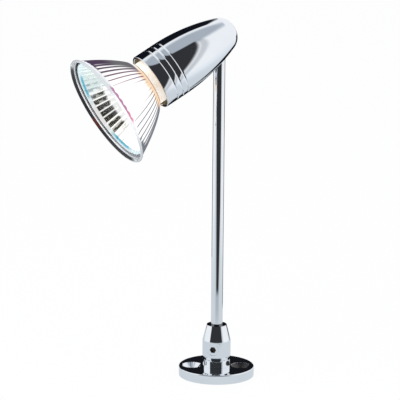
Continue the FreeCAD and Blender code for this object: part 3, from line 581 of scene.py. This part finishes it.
def makeCollar():
    c = collar
    band = c["foot"] + c["under"]
    top = band + c["straight"] + c["cone"]
    grip = c["foot"] + c["grip"]
    outline = softened([
        (c["nipple"], c["foot"]), (c["waist"], c["foot"]), (c["radius"], band), (c["radius"], band + c["straight"]),
        (c["top"], top), (c["bore"], top), (c["bore"], grip), (c["nipple"], grip)])
    way = Vector((*polar(1, c["screwTurn"]), 0))
    place = shifted(0, 0, band + c["screwRise"]) @ way.to_track_quat("Z", "Y").to_matrix().to_4x4()
    hole = turned("hole", tube(0, c["screwRadius"], c["holeStart"], c["holeEnd"]), place, 96)
    body = carved(turned("collar", outline, turns=256, sharp=12), [hole], 12)
    sortFaces(body, unturned, lambda at, way: at.z > top - c["ring"] and way.z > c["ringRise"])
    keep("clampCollar", body, "base", "chrome ring", ["collar"])

    radius = c["screwRadius"] - c["screwPlay"]
    start = c["bore"]
    end = c["radius"] - c["screwSink"]
    grub = turned("grub", softened(tube(0, radius, start, end), c["screwBreak"]), place, 96)
    reach = c["key"] / math.sqrt(3)
    corners = [polar(reach, 60 * step) for step in range(6)]
    screw = carved(grub, [prism("key", corners, end - c["keyDeep"], end + c["keyPast"], place)])
    sortFaces(screw, place, lambda at, way: at.xy.length < reach + 2 * hair and start < at.z < end - hair)
    keep("setScrew", screw, "set_screw", "chrome socket", ["set_screw"])


# Stem

stem = dict(radius=2.5, bore=1.8, foot=1.05, top=143.4)


def makeStem():
    s = stem
    outline = softened(tube(s["bore"], s["radius"], s["foot"], s["top"]))
    keep("stemTube", turned("stem", outline, turns=128), "stem", "chrome", ["stem_tube"])


# The leads' flexing ends, from the stem's mouth round the eye of the tilt joint to the sleeves

leads = dict(
    radius=0.55, apart=0.6, behind=0.65, stemEnd=5.6, rise=0.8, ahead=3.0, under=3.2, contact=2.65,
    sleeveEnd=22.9, straight=2.2, bendStart=(0, -0.65, 143.8), bendEnd=(0, -9.6, 143.8))


def makeLeads():
    p = leads
    pivot = head["pivotHeight"]
    data = bpy.data.curves.new("leads", "CURVE")
    data.dimensions = "3D"
    data.bevel_depth = p["radius"] * mm
    data.bevel_resolution = 4
    data.use_fill_caps = True
    for side in (-1, 1):
        points = [Vector((side * p["apart"], -y, pivot - z)) * mm for y, z in (
            (p["behind"], p["stemEnd"]), (p["behind"], p["stemEnd"] - p["rise"]), (p["ahead"], p["under"]))]
        points += [headFrame @ (Vector((0, side * p["contact"], p["sleeveEnd"] + back)) * mm)
                   for back in (p["straight"], 0)]
        line = data.splines.new("NURBS")
        line.points.add(len(points) - 1)
        for spot, point in zip(line.points, points):
            spot.co = (*point, 1)
        line.order_u = 3
        line.use_endpoint_u = True
    holder = placed("leads", data)
    mesh = evaluated(holder)
    bpy.data.objects.remove(holder)
    form = bmesh.new()
    form.from_mesh(mesh)
    bmesh.ops.remove_doubles(form, verts=form.verts, dist=weld * mm)
    piece = keep("headLeads", close("headLeads", form, 40), None, "sleeve", ["head_leads"])
    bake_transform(piece)


# Bullet housing

shell = dict(
    mouth=12.5, straight=10, tail=7, tailFlat=0.83, length=43.6, wall=1, lip=0.3, insideBreak=0.2,
    rings=(5.3, 8.1, 10.9), ringDeep=0.17, ringHalf=0.42, ringSteps=8, slot=3.0, slotReach=25, down=16, up=72,
    screwBack=18, screwHead=2.85, screwHole=1.55, screwSink=0.7, sinkFoot=-1, sinkEnd=4, insideFrom=0.6)


# The flank's arc and the tail's arc, moved inwards by an inset
def bulletCurve(inset, flankSteps, tailSteps):
    s = shell
    run = s["length"] - s["tail"] - s["straight"]
    fall = s["mouth"] - s["tail"] - s["tailFlat"]
    swing = (run ** 2 + fall ** 2) / (2 * fall)
    turn = math.degrees(math.asin(run / swing))
    return (arc((s["mouth"] - s["tail"] - swing, s["straight"]), swing + s["tail"] - inset, 0, turn, flankSteps)
            + arc((s["tailFlat"], s["length"] - s["tail"]), s["tail"] - inset, turn, 90, tailSteps)[1:])


def radiusAt(curve, level):
    for start, end in zip(curve, curve[1:]):
        if start[1] <= level <= end[1] and end[1] > start[1]:
            return start[0] + (end[0] - start[0]) * (level - start[1]) / (end[1] - start[1])
    return curve[0][0]


# A fan about the tilt axis and two round ends: the room that the stem needs
def slotTools(pivot):
    s = shell
    steps = 40      # in the fan's arc
    first = 90 - head["dip"] - s["down"]
    last = 90 - head["dip"] + s["up"]
    form = bmesh.new()
    sides = []
    for across in (-s["slot"], s["slot"]):
        ring = [form.verts.new(pivot @ (Vector((across, 0, 0)) * mm))]
        for step in range(steps + 1):
            turn = math.radians(first + (last - first) * step / steps)
            corner = Vector((across, s["slotReach"] * math.sin(turn), -s["slotReach"] * math.cos(turn)))
            ring.append(form.verts.new(pivot @ (corner * mm)))
        form.faces.new(ring)
        sides.append(ring)
    bridge(form, *sides)
    tools = [close("fan", form, 20)]
    for turn in (first, last):
        place = pivot @ Matrix.Rotation(math.radians(180 + turn), 4, "X")
        tools.append(turned("slotEnd", tube(0, s["slot"], 0, s["slotReach"]), place, 64))
    return tools


def makeHousing():
    s = shell
    curve = [(s["mouth"], s["lip"])] + bulletCurve(0, 72, 36)
    outside = arc((s["mouth"] - s["lip"], s["lip"]), s["lip"], -90, 0, 6)
    done = s["lip"]
    for ring in s["rings"]:
        outside += [point for point in curve if done < point[1] < ring - s["ringHalf"]]
        for step in range(-s["ringSteps"], s["ringSteps"] + 1):
            level = ring + s["ringHalf"] * step / s["ringSteps"]
            drop = s["ringDeep"] * (0.5 + 0.5 * math.cos(math.pi * step / s["ringSteps"]))
            outside.append((radiusAt(curve, level) - drop, level))
        done = ring + s["ringHalf"]
    outside += [point for point in curve if point[1] > done]
    bore = s["mouth"] - s["wall"]
    inside = [(bore + s["insideBreak"], 0), (bore, s["insideBreak"])] + bulletCurve(s["wall"], 30, 16)
    outline = outside[:-1] + [(0, s["length"]), (0, s["length"] - s["wall"])] + inside[:-1][::-1]
    blank = turned("housing", outline, headFrame, 256)
    pivot = headFrame @ shifted(0, 0, head["pivotSetback"])
    side = (headFrame @ shifted(s["screwSink"] - s["mouth"], 0, s["screwBack"])
            @ Matrix.Rotation(math.pi / 2, 4, "Y"))
    wide, hole, foot = s["screwHead"], s["screwHole"], s["sinkFoot"]
    sink = turned("screwSink", [(0, foot), (wide - foot, foot), (hole, wide - hole), (hole, s["sinkEnd"]),
                                (0, s["sinkEnd"])], side, 64)
    mesh = carved(blank, slotTools(pivot) + [sink])
    within = s["wall"] * s["insideFrom"]
    inner = bulletCurve(within, 30, 16)
    end = s["length"] - within
    sortFaces(mesh, headFrame, lambda at, way: s["lip"] < at.z < end and at.xy.length < radiusAt(inner, at.z))
    keep("housing", mesh, "head", "chrome inside", ["head_housing"])


# Reflector lamp

lamp = dict(
    rim=25.35, roll=0.62, slope=1.42, slopeWide=0.6, rimBack=2.28, rimEdge=24.1, rimFlat=23.55, ridge=0.26,
    ridgeBack=0.12, seat=23.72, seatInner=22.95, seatGap=0.03, glass=23.68, glassFront=1.72, glassBack=2.05,
    glassBreak=0.1, curve=24.7, apex=25.7, inset=2.7, deep=20.9, throat=5.6, throatGap=0.3, wallTurns=480,
    wallSteps=28, wallFront=1.15, wallUnder=0.02, wallEdge=24.2, wallFoot=((23.15, 0.08), (23.62, 0.04)),
    innerDepths=(19.5, 17, 14, 11, 8, 5), innerGap=0.2, flutes=48, fluteShare=0.024, fluteMargin=0.3,
    fluteLow=0.3, fluteRun=(1.2, 4.0), wallSharp=30, rows=8, columns=48, facetCuts=6, facetFront=2.2,
    facetBack=20.6, facetSharp=8, pillow=0.016, pillowRow=0.4, skin=0.15, neckTall=19, neckWide=12, neckRound=4,
    neckWall=2, neckStart=((0.72, -1.2), (0.97, -0.3), (1.0, 0.5)), neckEnd=37.5, neckBreak=0.3,
    neckBreakShare=0.97, neckFloor=24.2, bulb=4.7, bulbFront=10, bulbBack=23, bulbRound=1, pinchThick=3,
    pinchWide=8.6, pinchRound=0.6, pinchIn=0.2, pinchEnd=32, focus=16.8, coil=0.75, coilWire=0.16,
    coilLength=5.5, coilTurns=11.0, leg=0.2, legIn=0.2, legEnd=22)


def bowl(depth, inset=0.0):
    return math.sqrt(lamp["curve"] * (lamp["apex"] - inset - depth))


# 0 on the seams between flutes or facet columns, 1 in the middle of each
def ripple(x, y, count):
    return (y.step("ARCTAN2", x) * (count / 2)).step("SINE").step("ABSOLUTE")


# Runs a mesh through a geometry tree and gives the plain result
def grown(name, tree, start, settings):
    holder = placed(name, start)
    step = holder.modifiers.new("rule", "NODES")
    step.node_group = tree
    sockets = {item.name: item.identifier for item in tree.interface.items_tree if item.in_out == "INPUT"}
    for key, value in settings.items():
        step[sockets[key]] = value
    result = evaluated(holder)
    holder.modifiers.remove(step)
    bpy.data.objects.remove(holder)
    return result


def geometryTree(name, **inputs):
    tree = bpy.data.node_groups.new(name, "GeometryNodeTree")
    tree.interface.new_socket("Geometry", in_out="INPUT", socket_type="NodeSocketGeometry")
    for label, kind in inputs.items():
        tree.interface.new_socket(label, in_out="INPUT", socket_type="NodeSocket" + kind)
    tree.interface.new_socket("Geometry", in_out="OUTPUT", socket_type="NodeSocketGeometry")
    make = Maker(tree)
    return make, make.add("NodeGroupInput").value


def finishTree(make, geometry, key):
    real = make.add("GeometryNodeRealizeInstances", None, {0: geometry})
    dressed = make.add("GeometryNodeSetMaterial", None, {"Geometry": real, "Material": finishes[key]})
    make.add("NodeGroupOutput", None, {0: dressed})
    return make.tree


# Presses round flutes into the outside of a turned bowl
def fluteTree():
    make, given = geometryTree(
        "pressedFlutes", Flutes="Int", Share="Float", Curve="Float", Apex="Float", Margin="Float")
    x, y, z = make.split(make.add("GeometryNodeInputPosition"))
    radius = (x * x + y * y) ** 0.5
    bowlRadius = (given("Curve") * (given("Apex") - z)) ** 0.5
    outer = radius.step("GREATER_THAN", bowlRadius - given("Margin"))
    wave = ripple(x, y, given("Flutes"))
    low = lamp["fluteLow"]
    run = low + (1 - low) * z.over(*lamp["fluteRun"])
    scale = 1 - given("Share") * (1 - wave) * outer * run
    moved = make.add("ShaderNodeCombineXYZ", None, {0: x * scale, 1: y * scale, 2: z})
    pressed = make.add("GeometryNodeSetPosition", None, {"Geometry": given("Geometry"), "Position": moved})
    return finishTree(make, pressed, "flutes")


# Rows of slightly domed mirror facets on the inside of a parabola, as one thin skin
def facetTree():
    make, given = geometryTree("mirrorFacets", Columns="Int", Rows="Int", Curve="Float", Apex="Float",
                               Front="Float", Back="Float", Pillow="Float", Skin="Float")
    cuts = lamp["facetCuts"]
    wall = make.add("GeometryNodeMeshCylinder", dict(fill_type="NONE"), {
        "Vertices": given("Columns") * cuts, "Side Segments": given("Rows") * cuts,
        "Radius": 1.0, "Depth": 2.0})
    x, y, z = make.split(make.add("GeometryNodeInputPosition"))
    share = z * 0.5 + 0.5
    curve, apex = given("Curve"), given("Apex")
    wide = (curve * (apex - given("Front"))) ** 0.5
    narrow = (curve * (apex - given("Back"))) ** 0.5
    radius = wide + (narrow - wide) * share
    depth = apex - radius * radius / curve
    column = ripple(x, y, given("Columns"))
    row = (share * given("Rows") * math.pi).step("SINE").step("ABSOLUTE")
    fall = lamp["pillowRow"]
    reach = radius * (1 - given("Pillow") * column * (1 - fall + fall * row))
    moved = make.add("ShaderNodeCombineXYZ", None, {0: x * reach, 1: y * reach, 2: depth})
    face = make.add("GeometryNodeSetPosition", None, {"Geometry": wall.out("Mesh"), "Position": moved})
    rear = make.add("GeometryNodeExtrudeMesh", dict(mode="FACES"), {
        "Mesh": face, "Offset Scale": given("Skin"), "Individual": False})
    front = make.add("GeometryNodeFlipFaces", None, {0: face})
    joined = make.add("GeometryNodeJoinGeometry")
    for part in (rear, front):
        make.tree.links.new(part.out(), joined.node.inputs[0])
    merged = make.add("GeometryNodeMergeByDistance", None, {"Geometry": joined, "Distance": weld})
    return finishTree(make, merged, "facets")


# A coil on its own axis
def coilTree():
    make, given = geometryTree("filamentCoil", Radius="Float", Wire="Float", Length="Float", Turns="Float")
    turn = make.add("GeometryNodeCurveSpiral", None, {
        "Resolution": 20, "Rotations": given("Turns"), "Start Radius": given("Radius"),
        "End Radius": given("Radius"), "Height": given("Length")})
    ring = make.add("GeometryNodeCurvePrimitiveCircle", None, {"Resolution": 8, "Radius": given("Wire")})
    wire = make.add("GeometryNodeCurveToMesh", None, {"Curve": turn, "Profile Curve": ring, "Fill Caps": True})
    return finishTree(make, wire, "filament")


# The lamp's own coordinates in millimetres: across, along the pins, and depth behind the rim
def lampCoordinates(make, place):
    back = lampFrame.inverted()
    rows = []
    for row in range(3):
        dot = make.add("ShaderNodeVectorMath", dict(operation="DOT_PRODUCT"), {0: place, 1: tuple(back[row][:3])})
        rows.append((dot.value("Value") + back[row][3]) * (1 / mm))
    return rows


# Shares of across and along in the line from the lamp's upper end to its lower end
slant = (0.45, 0.893)


# Millimetres from the lamp's axis along that line, negative at the upper end
def endways(across, along):
    return across * slant[0] + along * slant[1]


# The same as a share of the distance from the axis, from -1 to 1
def endShare(across, along):
    return endways(across, along) / (across * across + along * along) ** 0.5


def facing(make):
    return make.add("ShaderNodeLayerWeight", None, {"Blend": 0.5}).value("Facing")


def facingVeil(edge):
    return lambda make, place: facing(make).over(*edge)


# The fluted outside: a painted glow that stands in for the lamp's light through the glass, with a pink line at the
# rim and a warm throat, under a veil of painted shade where it is seen aslant. A shift moves the veil's edge by an
# amount where the end share passes a soft edge

outsideLook = dict(
    white=(1.0, 0.99, 0.985), amber=(0.95, 0.66, 0.42), amberDepth=(18.2, 21.0), amberShare=(-0.8, -0.4),
    amberGrain=3.2, amberScale=420, throat=(0.36, 0.25, 0.17), throatDepth=(20.25, 20.45),
    cool=(0.72, 0.77, 0.8), coolDepth=(3.0, 2.2), upperEnd=(-4, -9), rose=(0.74, 0.17, 0.3),
    plum=(0.42, 0.13, 0.3), plumEnd=(10, 2), pinkDepth=(2.18, 1.98), pinkWave=0.35, pinkStart=(-9, -6),
    pinkStop=(12, 8.5), veilFacing=(0.45, 0.58), veilBack=(20.0, 18.5), veilFront=(1.2, 1.7), veilSetback=1.2,
    shifts=((0.06, (-0.2, 0.3)), (-0.13, (-0.38, -0.62)), (-0.15, (0.6, 0.95)), (-0.05, (-0.68, -0.84))),
    violet=(0.075, 0.048, 0.088), grey=(0.15, 0.145, 0.15), greyDepth=(8, 14), mauve=(0.26, 0.15, 0.2),
    mauveShare=(-0.75, -0.35), slate=(0.2, 0.21, 0.23), slateShare=(-0.1, 0.3))


# Painted light: the glow through the glass, warm towards the throat, cool at the upper end, pink at the rim
def outsideGlow(make, place):
    o = outsideLook
    across, along, depth = lampCoordinates(make, place)
    length = endways(across, along)
    pink = (depth - o["pinkWave"] * ripple(across, along, lamp["flutes"])).over(*o["pinkDepth"])
    pink = pink * length.over(*o["pinkStart"]) * length.over(*o["pinkStop"])
    warm = (depth + o["amberGrain"] * noise(make, place, o["amberScale"])).over(*o["amberDepth"])
    warm = warm * endShare(across, along).over(*o["amberShare"])
    colour = make.mixColour(warm, o["white"], o["amber"])
    colour = make.mixColour(depth.over(*o["throatDepth"]), colour, o["throat"])
    colour = make.mixColour(depth.over(*o["coolDepth"]) * length.over(*o["upperEnd"]), colour, o["cool"])
    pinks = make.mixColour(length.over(*o["plumEnd"]), o["rose"], o["plum"])
    return make.mixColour(pink, colour, pinks)


# Where the veil of painted shade shows: where the glass is seen aslant, short of the rim and the throat
def outsideVeil(make, place):
    o = outsideLook
    across, along, depth = lampCoordinates(make, place)
    share = endShare(across, along)
    shift = sum(amount * share.over(*edge) for amount, edge in o["shifts"])
    front = (depth - o["veilSetback"] * endways(across, along).over(*o["upperEnd"])).over(*o["veilFront"])
    return (facing(make) - shift).over(*o["veilFacing"]) * depth.over(*o["veilBack"]) * front


# Painted shade: the veil's colours, violet turning grey deeper in at the upper end, mauve in the middle, slate at
# the lower end
def outsideShade(make, place):
    o = outsideLook
    across, along, depth = lampCoordinates(make, place)
    share = endShare(across, along)
    crown = make.mixColour(depth.over(*o["greyDepth"]), o["violet"], o["grey"])
    upper = make.mixColour(share.over(*o["mauveShare"]), crown, o["mauve"])
    return make.mixColour(share.over(*o["slateShare"]), upper, o["slate"])


# The oblong neck, with a painted warm glow that stands in for the lamp's light from inside, dimmer at its root

neckLook = dict(
    warm=(1.0, 0.86, 0.72), pale=(1.0, 0.97, 0.92), grain=(0.38, 0.66), grainScale=330, root=(0.55, 0.38, 0.26),
    rootDepth=(21.5, 21.1), strength=0.55)


# Painted light: the neck's warm glow, mottled, dimmer at its root
def neckGlow(make, place):
    n = neckLook
    depth = lampCoordinates(make, place)[2]
    glow = make.mixColour(noise(make, place, n["grainScale"]).over(*n["grain"]), n["warm"], n["pale"])
    return make.mixColour(depth.over(*n["rootDepth"]), glow, n["root"])


# The facets: a painted glow all over that stands in for the lamp's light, dimmer deeper in, but for dark bars of
# painted reflection in the middle, with a painted pale edge and cyan streaks of painted light near the rim

facetsLook = dict(
    white=(1.0, 1.0, 0.99), deep=(0.3, 0.28, 0.24), deepDepth=(10.5, 13.5), cool=(0.36, 0.47, 0.5),
    coolEnd=(-8, -12), bar=(0.01, 0.007, 0.0), litDepth=(8.6, 9.6), litEnds=(8.0, 10.5), litSeam=(0.45, 0.25),
    edgeDepth=(3.75, 3.5), edge=(0.97, 0.97, 0.95), edgeAtEnds=(0.8, 0.93, 0.96), edgeTurn=(4, 10),
    cyan=(0.08, 0.46, 0.62), cyanStart=(8, 11), cyanStop=(19.5, 17), cyanBack=(3.7, 3.4), cyanFront=(2.5, 2.9),
    mirror=(0.92, 0.88, 0.76), edgeMirror=(0.15, 0.2, 0.22))


# Painted light: the facets' glow, with dark bars of painted reflection, a pale edge and cyan streaks
def facetGlow(make, place):
    f = facetsLook
    across, along, depth = lampCoordinates(make, place)
    end = endways(across, along)
    length = end.step("ABSOLUTE")
    column = ripple(across, along, lamp["columns"])
    cyan = length.over(*f["cyanStart"]) * length.over(*f["cyanStop"])
    cyan = cyan * depth.over(*f["cyanBack"]) * depth.over(*f["cyanFront"])
    edge = make.mixColour(length.over(*f["edgeTurn"]), f["edge"], f["edgeAtEnds"])
    edge = make.mixColour(cyan, edge, f["cyan"])
    lit = depth.over(*f["litDepth"]).step("MAXIMUM", length.over(*f["litEnds"]))
    lit = lit.step("MAXIMUM", column.over(*f["litSeam"]))
    bright = make.mixColour(depth.over(*f["deepDepth"]), f["white"], f["deep"])
    bright = make.mixColour(end.over(*f["coolEnd"]), bright, f["cool"])
    rest = make.mixColour(lit, f["bar"], bright)
    return make.mixColour(depth.over(*f["edgeDepth"]), rest, edge)


def facetTint(make, place):
    f = facetsLook
    depth = lampCoordinates(make, place)[2]
    return make.mixColour(depth.over(*f["edgeDepth"]), f["mirror"], f["edgeMirror"])


# The rim: pale in front, greyer with painted shade at its ends and on one side of the upper end, dark with painted
# shade on its outside seen aslant and on the slope seen head on, with a red spot of painted light on the slope; the
# cover glass and its seat, dark with painted shade and painted lit at the lower end

rimLook = dict(
    pale=(0.92, 0.92, 0.92), dimmed=(0.62, 0.64, 0.65), dimmedEnds=(14, 21), oneSide=(2, 10), oneSideEnd=(-1, -7),
    outside=(0.1, 0.1, 0.11), outsideFacing=(0.77, 0.9), slopeFacing=(0.55, 0.74),
    slope=(0.03, 0.03, 0.034), red=(0.09, 0.027, 0.021), redAt=1.4, redReach=(3.4, 1.8),
    seat=(0.012, 0.012, 0.012), seatLit=(0.4, 0.4, 0.43), seatEnd=(8, 15))
coverLook = dict(tint=(0.05, 0.06, 0.07), clear=0.02, gloss=0.15, index=1.45)


# Painted shade: the pale rim greyer at the lamp's ends and on one side of the upper end
def paleShade(make, place):
    r = rimLook
    across, along = lampCoordinates(make, place)[:2]
    length = endways(across, along)
    side = (across * slant[1] - along * slant[0]).over(*r["oneSide"]) * length.over(*r["oneSideEnd"])
    dimmed = length.step("ABSOLUTE").over(*r["dimmedEnds"]).step("MAXIMUM", side)
    return make.mixColour(dimmed, r["pale"], r["dimmed"])


# Painted shade on the slope where it is seen head on, with a red spot of painted light
def slopeShade(make, place):
    r = rimLook
    length = endways(*lampCoordinates(make, place)[:2])
    red = (length - r["redAt"]).step("ABSOLUTE").over(*r["redReach"])
    return make.mixColour(red, r["slope"], r["red"])


# The seat: painted shade, dark, and painted lit towards the lamp's lower end
def seatShade(make, place):
    r = rimLook
    length = endways(*lampCoordinates(make, place)[:2])
    return make.mixColour(length.over(*r["seatEnd"]), r["seat"], r["seatLit"])


def coverAlpha(make, place):
    c = coverLook
    return c["clear"] + c["gloss"] * make.add("ShaderNodeFresnel", None, {"IOR": c["index"]}).value()


def makeLampFinishes():
    r = rimLook
    finish("flutes", "fluted glass", {"Base Color": outsideShade, "Roughness": 0.4, "Specular IOR Level": 0.0},
           outsideVeil, {"Base Color": (0.05, 0.05, 0.05), "Roughness": drift(0.25, 0.35, 200),
                         "Emission Color": outsideGlow, "Emission Strength": 1.0})
    finish("neck", "pressed glass neck", {
        "Base Color": mottle((0.7, 0.64, 0.54), (0.86, 0.83, 0.77), 420), "Roughness": drift(0.15, 0.3, 300),
        "Emission Color": neckGlow, "Emission Strength": neckLook["strength"]})
    finish("facets", "coated mirror", {
        "Base Color": facetTint, "Metallic": 1.0, "Roughness": drift(0.03, 0.06, 200),
        "Emission Color": facetGlow, "Emission Strength": 1.0})
    pale = {"Base Color": paleShade, "Roughness": drift(0.06, 0.12, 160)}
    # The rim's outside turns dark where it is seen aslant: painted shade
    finish("rim", "rolled glass rim", {"Base Color": r["outside"], "Roughness": 0.1},
           facingVeil(r["outsideFacing"]), pale)
    finish("rimSlope", "inner side of the rim", pale, facingVeil(r["slopeFacing"]),
           {"Base Color": slopeShade, "Roughness": 0.15, "Specular IOR Level": 0.3})
    finish("cover", "cover glass", {"Base Color": coverLook["tint"], "Roughness": 0.03, "Alpha": coverAlpha})
    finish("seat", "glass seat with painted shade and light", {"Base Color": seatShade, "Roughness": drift(0.3, 0.5, 500),
                                       "Specular IOR Level": 0.0})
    finish("quartz", "glowing quartz", {
        "Base Color": mottle((0.93, 0.93, 0.92), (0.97, 0.97, 0.96), 300), "Roughness": 0.1,
        "Emission Color": (1.0, 0.95, 0.86), "Emission Strength": 4.0})
    finish("filament", "glowing filament", {
        "Base Color": (0.6, 0.55, 0.5), "Metallic": 1.0, "Roughness": 0.4,
        "Emission Color": (1.0, 0.86, 0.62), "Emission Strength": 12.0})


def roundedCorners(tall, wide, roundness, steps=8):
    corners = []
    for x, y, start in ((1, 1, 0), (-1, 1, 90), (-1, -1, 180), (1, -1, 270)):
        centre = (x * (wide / 2 - roundness), y * (tall / 2 - roundness))
        corners += arc(centre, roundness, start, start + 90, steps)
    return corners


def makeBowl():
    p = lamp
    steps = p["wallSteps"]
    depths = [p["wallFront"] + (p["deep"] - p["wallFront"]) * step / steps for step in range(steps + 1)]
    outside = [(bowl(depth) - p["wallUnder"], depth) for depth in depths]
    inside = [(p["throat"] + p["throatGap"], p["deep"])] + [
        (bowl(depth, p["inset"]) + p["skin"] + p["innerGap"], depth) for depth in p["innerDepths"]]
    inside += [(radius, p["rimBack"] + gap) for radius, gap in p["wallFoot"]] + [(p["wallEdge"], p["wallFront"])]
    start = turned("bowl", [(r / mm, h / mm) for r, h in outside + inside], turns=p["wallTurns"])
    wall = grown("reflectorWall", fluteTree(), start, {
        "Flutes": p["flutes"], "Share": p["fluteShare"], "Curve": p["curve"], "Apex": p["apex"],
        "Margin": p["fluteMargin"]})
    wall.transform(lampFrame @ Matrix.Scale(mm, 4))
    keep("reflectorWall", smoothed(wall, p["wallSharp"]), "lamp", "flutes", ["lamp_reflector"])

    mirror = grown("reflectorFacets", facetTree(), bpy.data.meshes.new("start"), {
        "Columns": p["columns"], "Rows": p["rows"], "Curve": p["curve"], "Apex": p["apex"] - p["inset"],
        "Front": p["facetFront"], "Back": p["facetBack"], "Pillow": p["pillow"], "Skin": p["skin"]})
    mirror.transform(lampFrame @ Matrix.Scale(mm, 4))
    keep("reflectorFacets", smoothed(mirror, p["facetSharp"]), "lamp", "facets", ())


def makeRim():
    p = lamp
    seat, roll, ridge = p["seat"], p["roll"], p["ridge"]
    crest = p["rim"] - roll
    bump = (seat + ridge, p["slope"] + p["ridgeBack"])
    angles = [math.radians(angle) for angle in range(85, -5, -7)]
    slope = [(crest - p["slopeWide"] * math.sin(angle), p["slope"] * (1 - math.cos(angle))) for angle in angles]
    inner, bed = p["seatInner"], p["glassBack"] + p["seatGap"]
    outline = (arc((crest, roll), roll, -90, 90, 24)
               + [(p["rimEdge"], 2 * roll), (p["rimFlat"], p["rimBack"]), (inner, p["rimBack"]), (inner, bed),
                  (seat, bed), (seat, p["glassFront"])]
               + arc(bump, ridge, 180, 330, 10) + slope)
    mesh = turned("rim", outline, lampFrame, 256)

    # 2 on the seat, 1 on the slope, 0 elsewhere
    def which(at, way):
        radius = at.xy.length
        if radius < seat + hair and p["glassFront"] < at.z < p["rimBack"] - hair:
            return 2
        return int(crest - p["slopeWide"] - hair < radius < crest and at.z < p["slope"] - 2 * hair)

    sortFaces(mesh, lampFrame, which)
    keep("lampRim", mesh, "lamp", "rim rimSlope seat", ())
    disc = softened(tube(0, p["glass"], p["glassFront"], p["glassBack"]), p["glassBreak"])
    keep("coverGlass", turned("cover", disc, lampFrame, 192), "lamp", "cover", ["front_glass"])


def makeNeck():
    p = lamp
    form = bmesh.new()
    inner = (p["neckTall"] - 2 * p["neckWall"]) / p["neckTall"]
    levels = [(share, p["deep"] + back) for share, back in p["neckStart"]] + [
        (1.0, p["neckEnd"] - p["neckBreak"]), (p["neckBreakShare"], p["neckEnd"]), (inner, p["neckEnd"]),
        (inner, p["neckFloor"])]
    rings = []
    for share, depth in levels:
        corners = roundedCorners(p["neckTall"] * share, p["neckWide"] * share, p["neckRound"] * share)
        rings.append([form.verts.new(lampFrame @ (Vector((x, y, depth)) * mm)) for x, y in corners])
    for ring, following in zip(rings, rings[1:]):
        bridge(form, ring, following)
    form.faces.new(rings[-1])
    form.faces.new(rings[0])
    keep("lampNeck", close("neck", form, 30), "lamp", "neck", ())


def makeBulb():
    p = lamp
    centre = p["bulbFront"] + p["bulb"]
    edge = p["bulbRound"]
    outline = (arc((0, centre), p["bulb"], -90, 0, 20)
               + arc((p["bulb"] - edge, p["bulbBack"] - edge), edge, 0, 90, 6) + [(0, p["bulbBack"])])
    capsule = turned("capsule", outline, lampFrame, 96)
    keep("quartzBulb", capsule, "lamp", "quartz", ["quartz_bulb"])
    pinch = prism("pinch", roundedCorners(p["pinchWide"], p["pinchThick"], p["pinchRound"], 4),
                  p["bulbBack"] - p["pinchIn"], p["pinchEnd"], lampFrame)
    keep("quartzPinch", pinch, "lamp", "quartz", ())

    coil = grown("filament", coilTree(), bpy.data.meshes.new("start"), {
        "Radius": p["coil"], "Wire": p["coilWire"], "Length": p["coilLength"], "Turns": p["coilTurns"]})
    turn = Matrix.Translation((0, -p["coilLength"] / 2, p["focus"])) @ Matrix.Rotation(-math.pi / 2, 4, "X")
    coil.transform(lampFrame @ Matrix.Scale(mm, 4) @ turn)
    coil.shade_smooth()
    keep("filamentCoil", coil, "lamp", "filament", ["filament"])
    for side in (-1, 1):
        place = lampFrame @ shifted(0, side * (p["coilLength"] / 2 - p["legIn"]), 0)
        leg = turned("leg", tube(0, p["leg"], p["focus"], p["legEnd"]), place, 12)
        keep("filamentLeg" + ("Low" if side > 0 else "High"), leg, "lamp", "wire", ())


stages = dict(studio=(makeCamera, makeWorld, makeFloor, makeCard, makeLights),
              finishes=(makeFinishes, makeLampFinishes, dressNodes),
              metalwork=(makePlate, makeCollar, makeStem, makeLeads, makeHousing),
              lamp=(makeBowl, makeRim, makeNeck, makeBulb))
for stage, steps in stages.items():
    for step in steps:
        step()
    print(stage, "ready")

bpy.context.scene.view_settings.view_transform = "Standard"
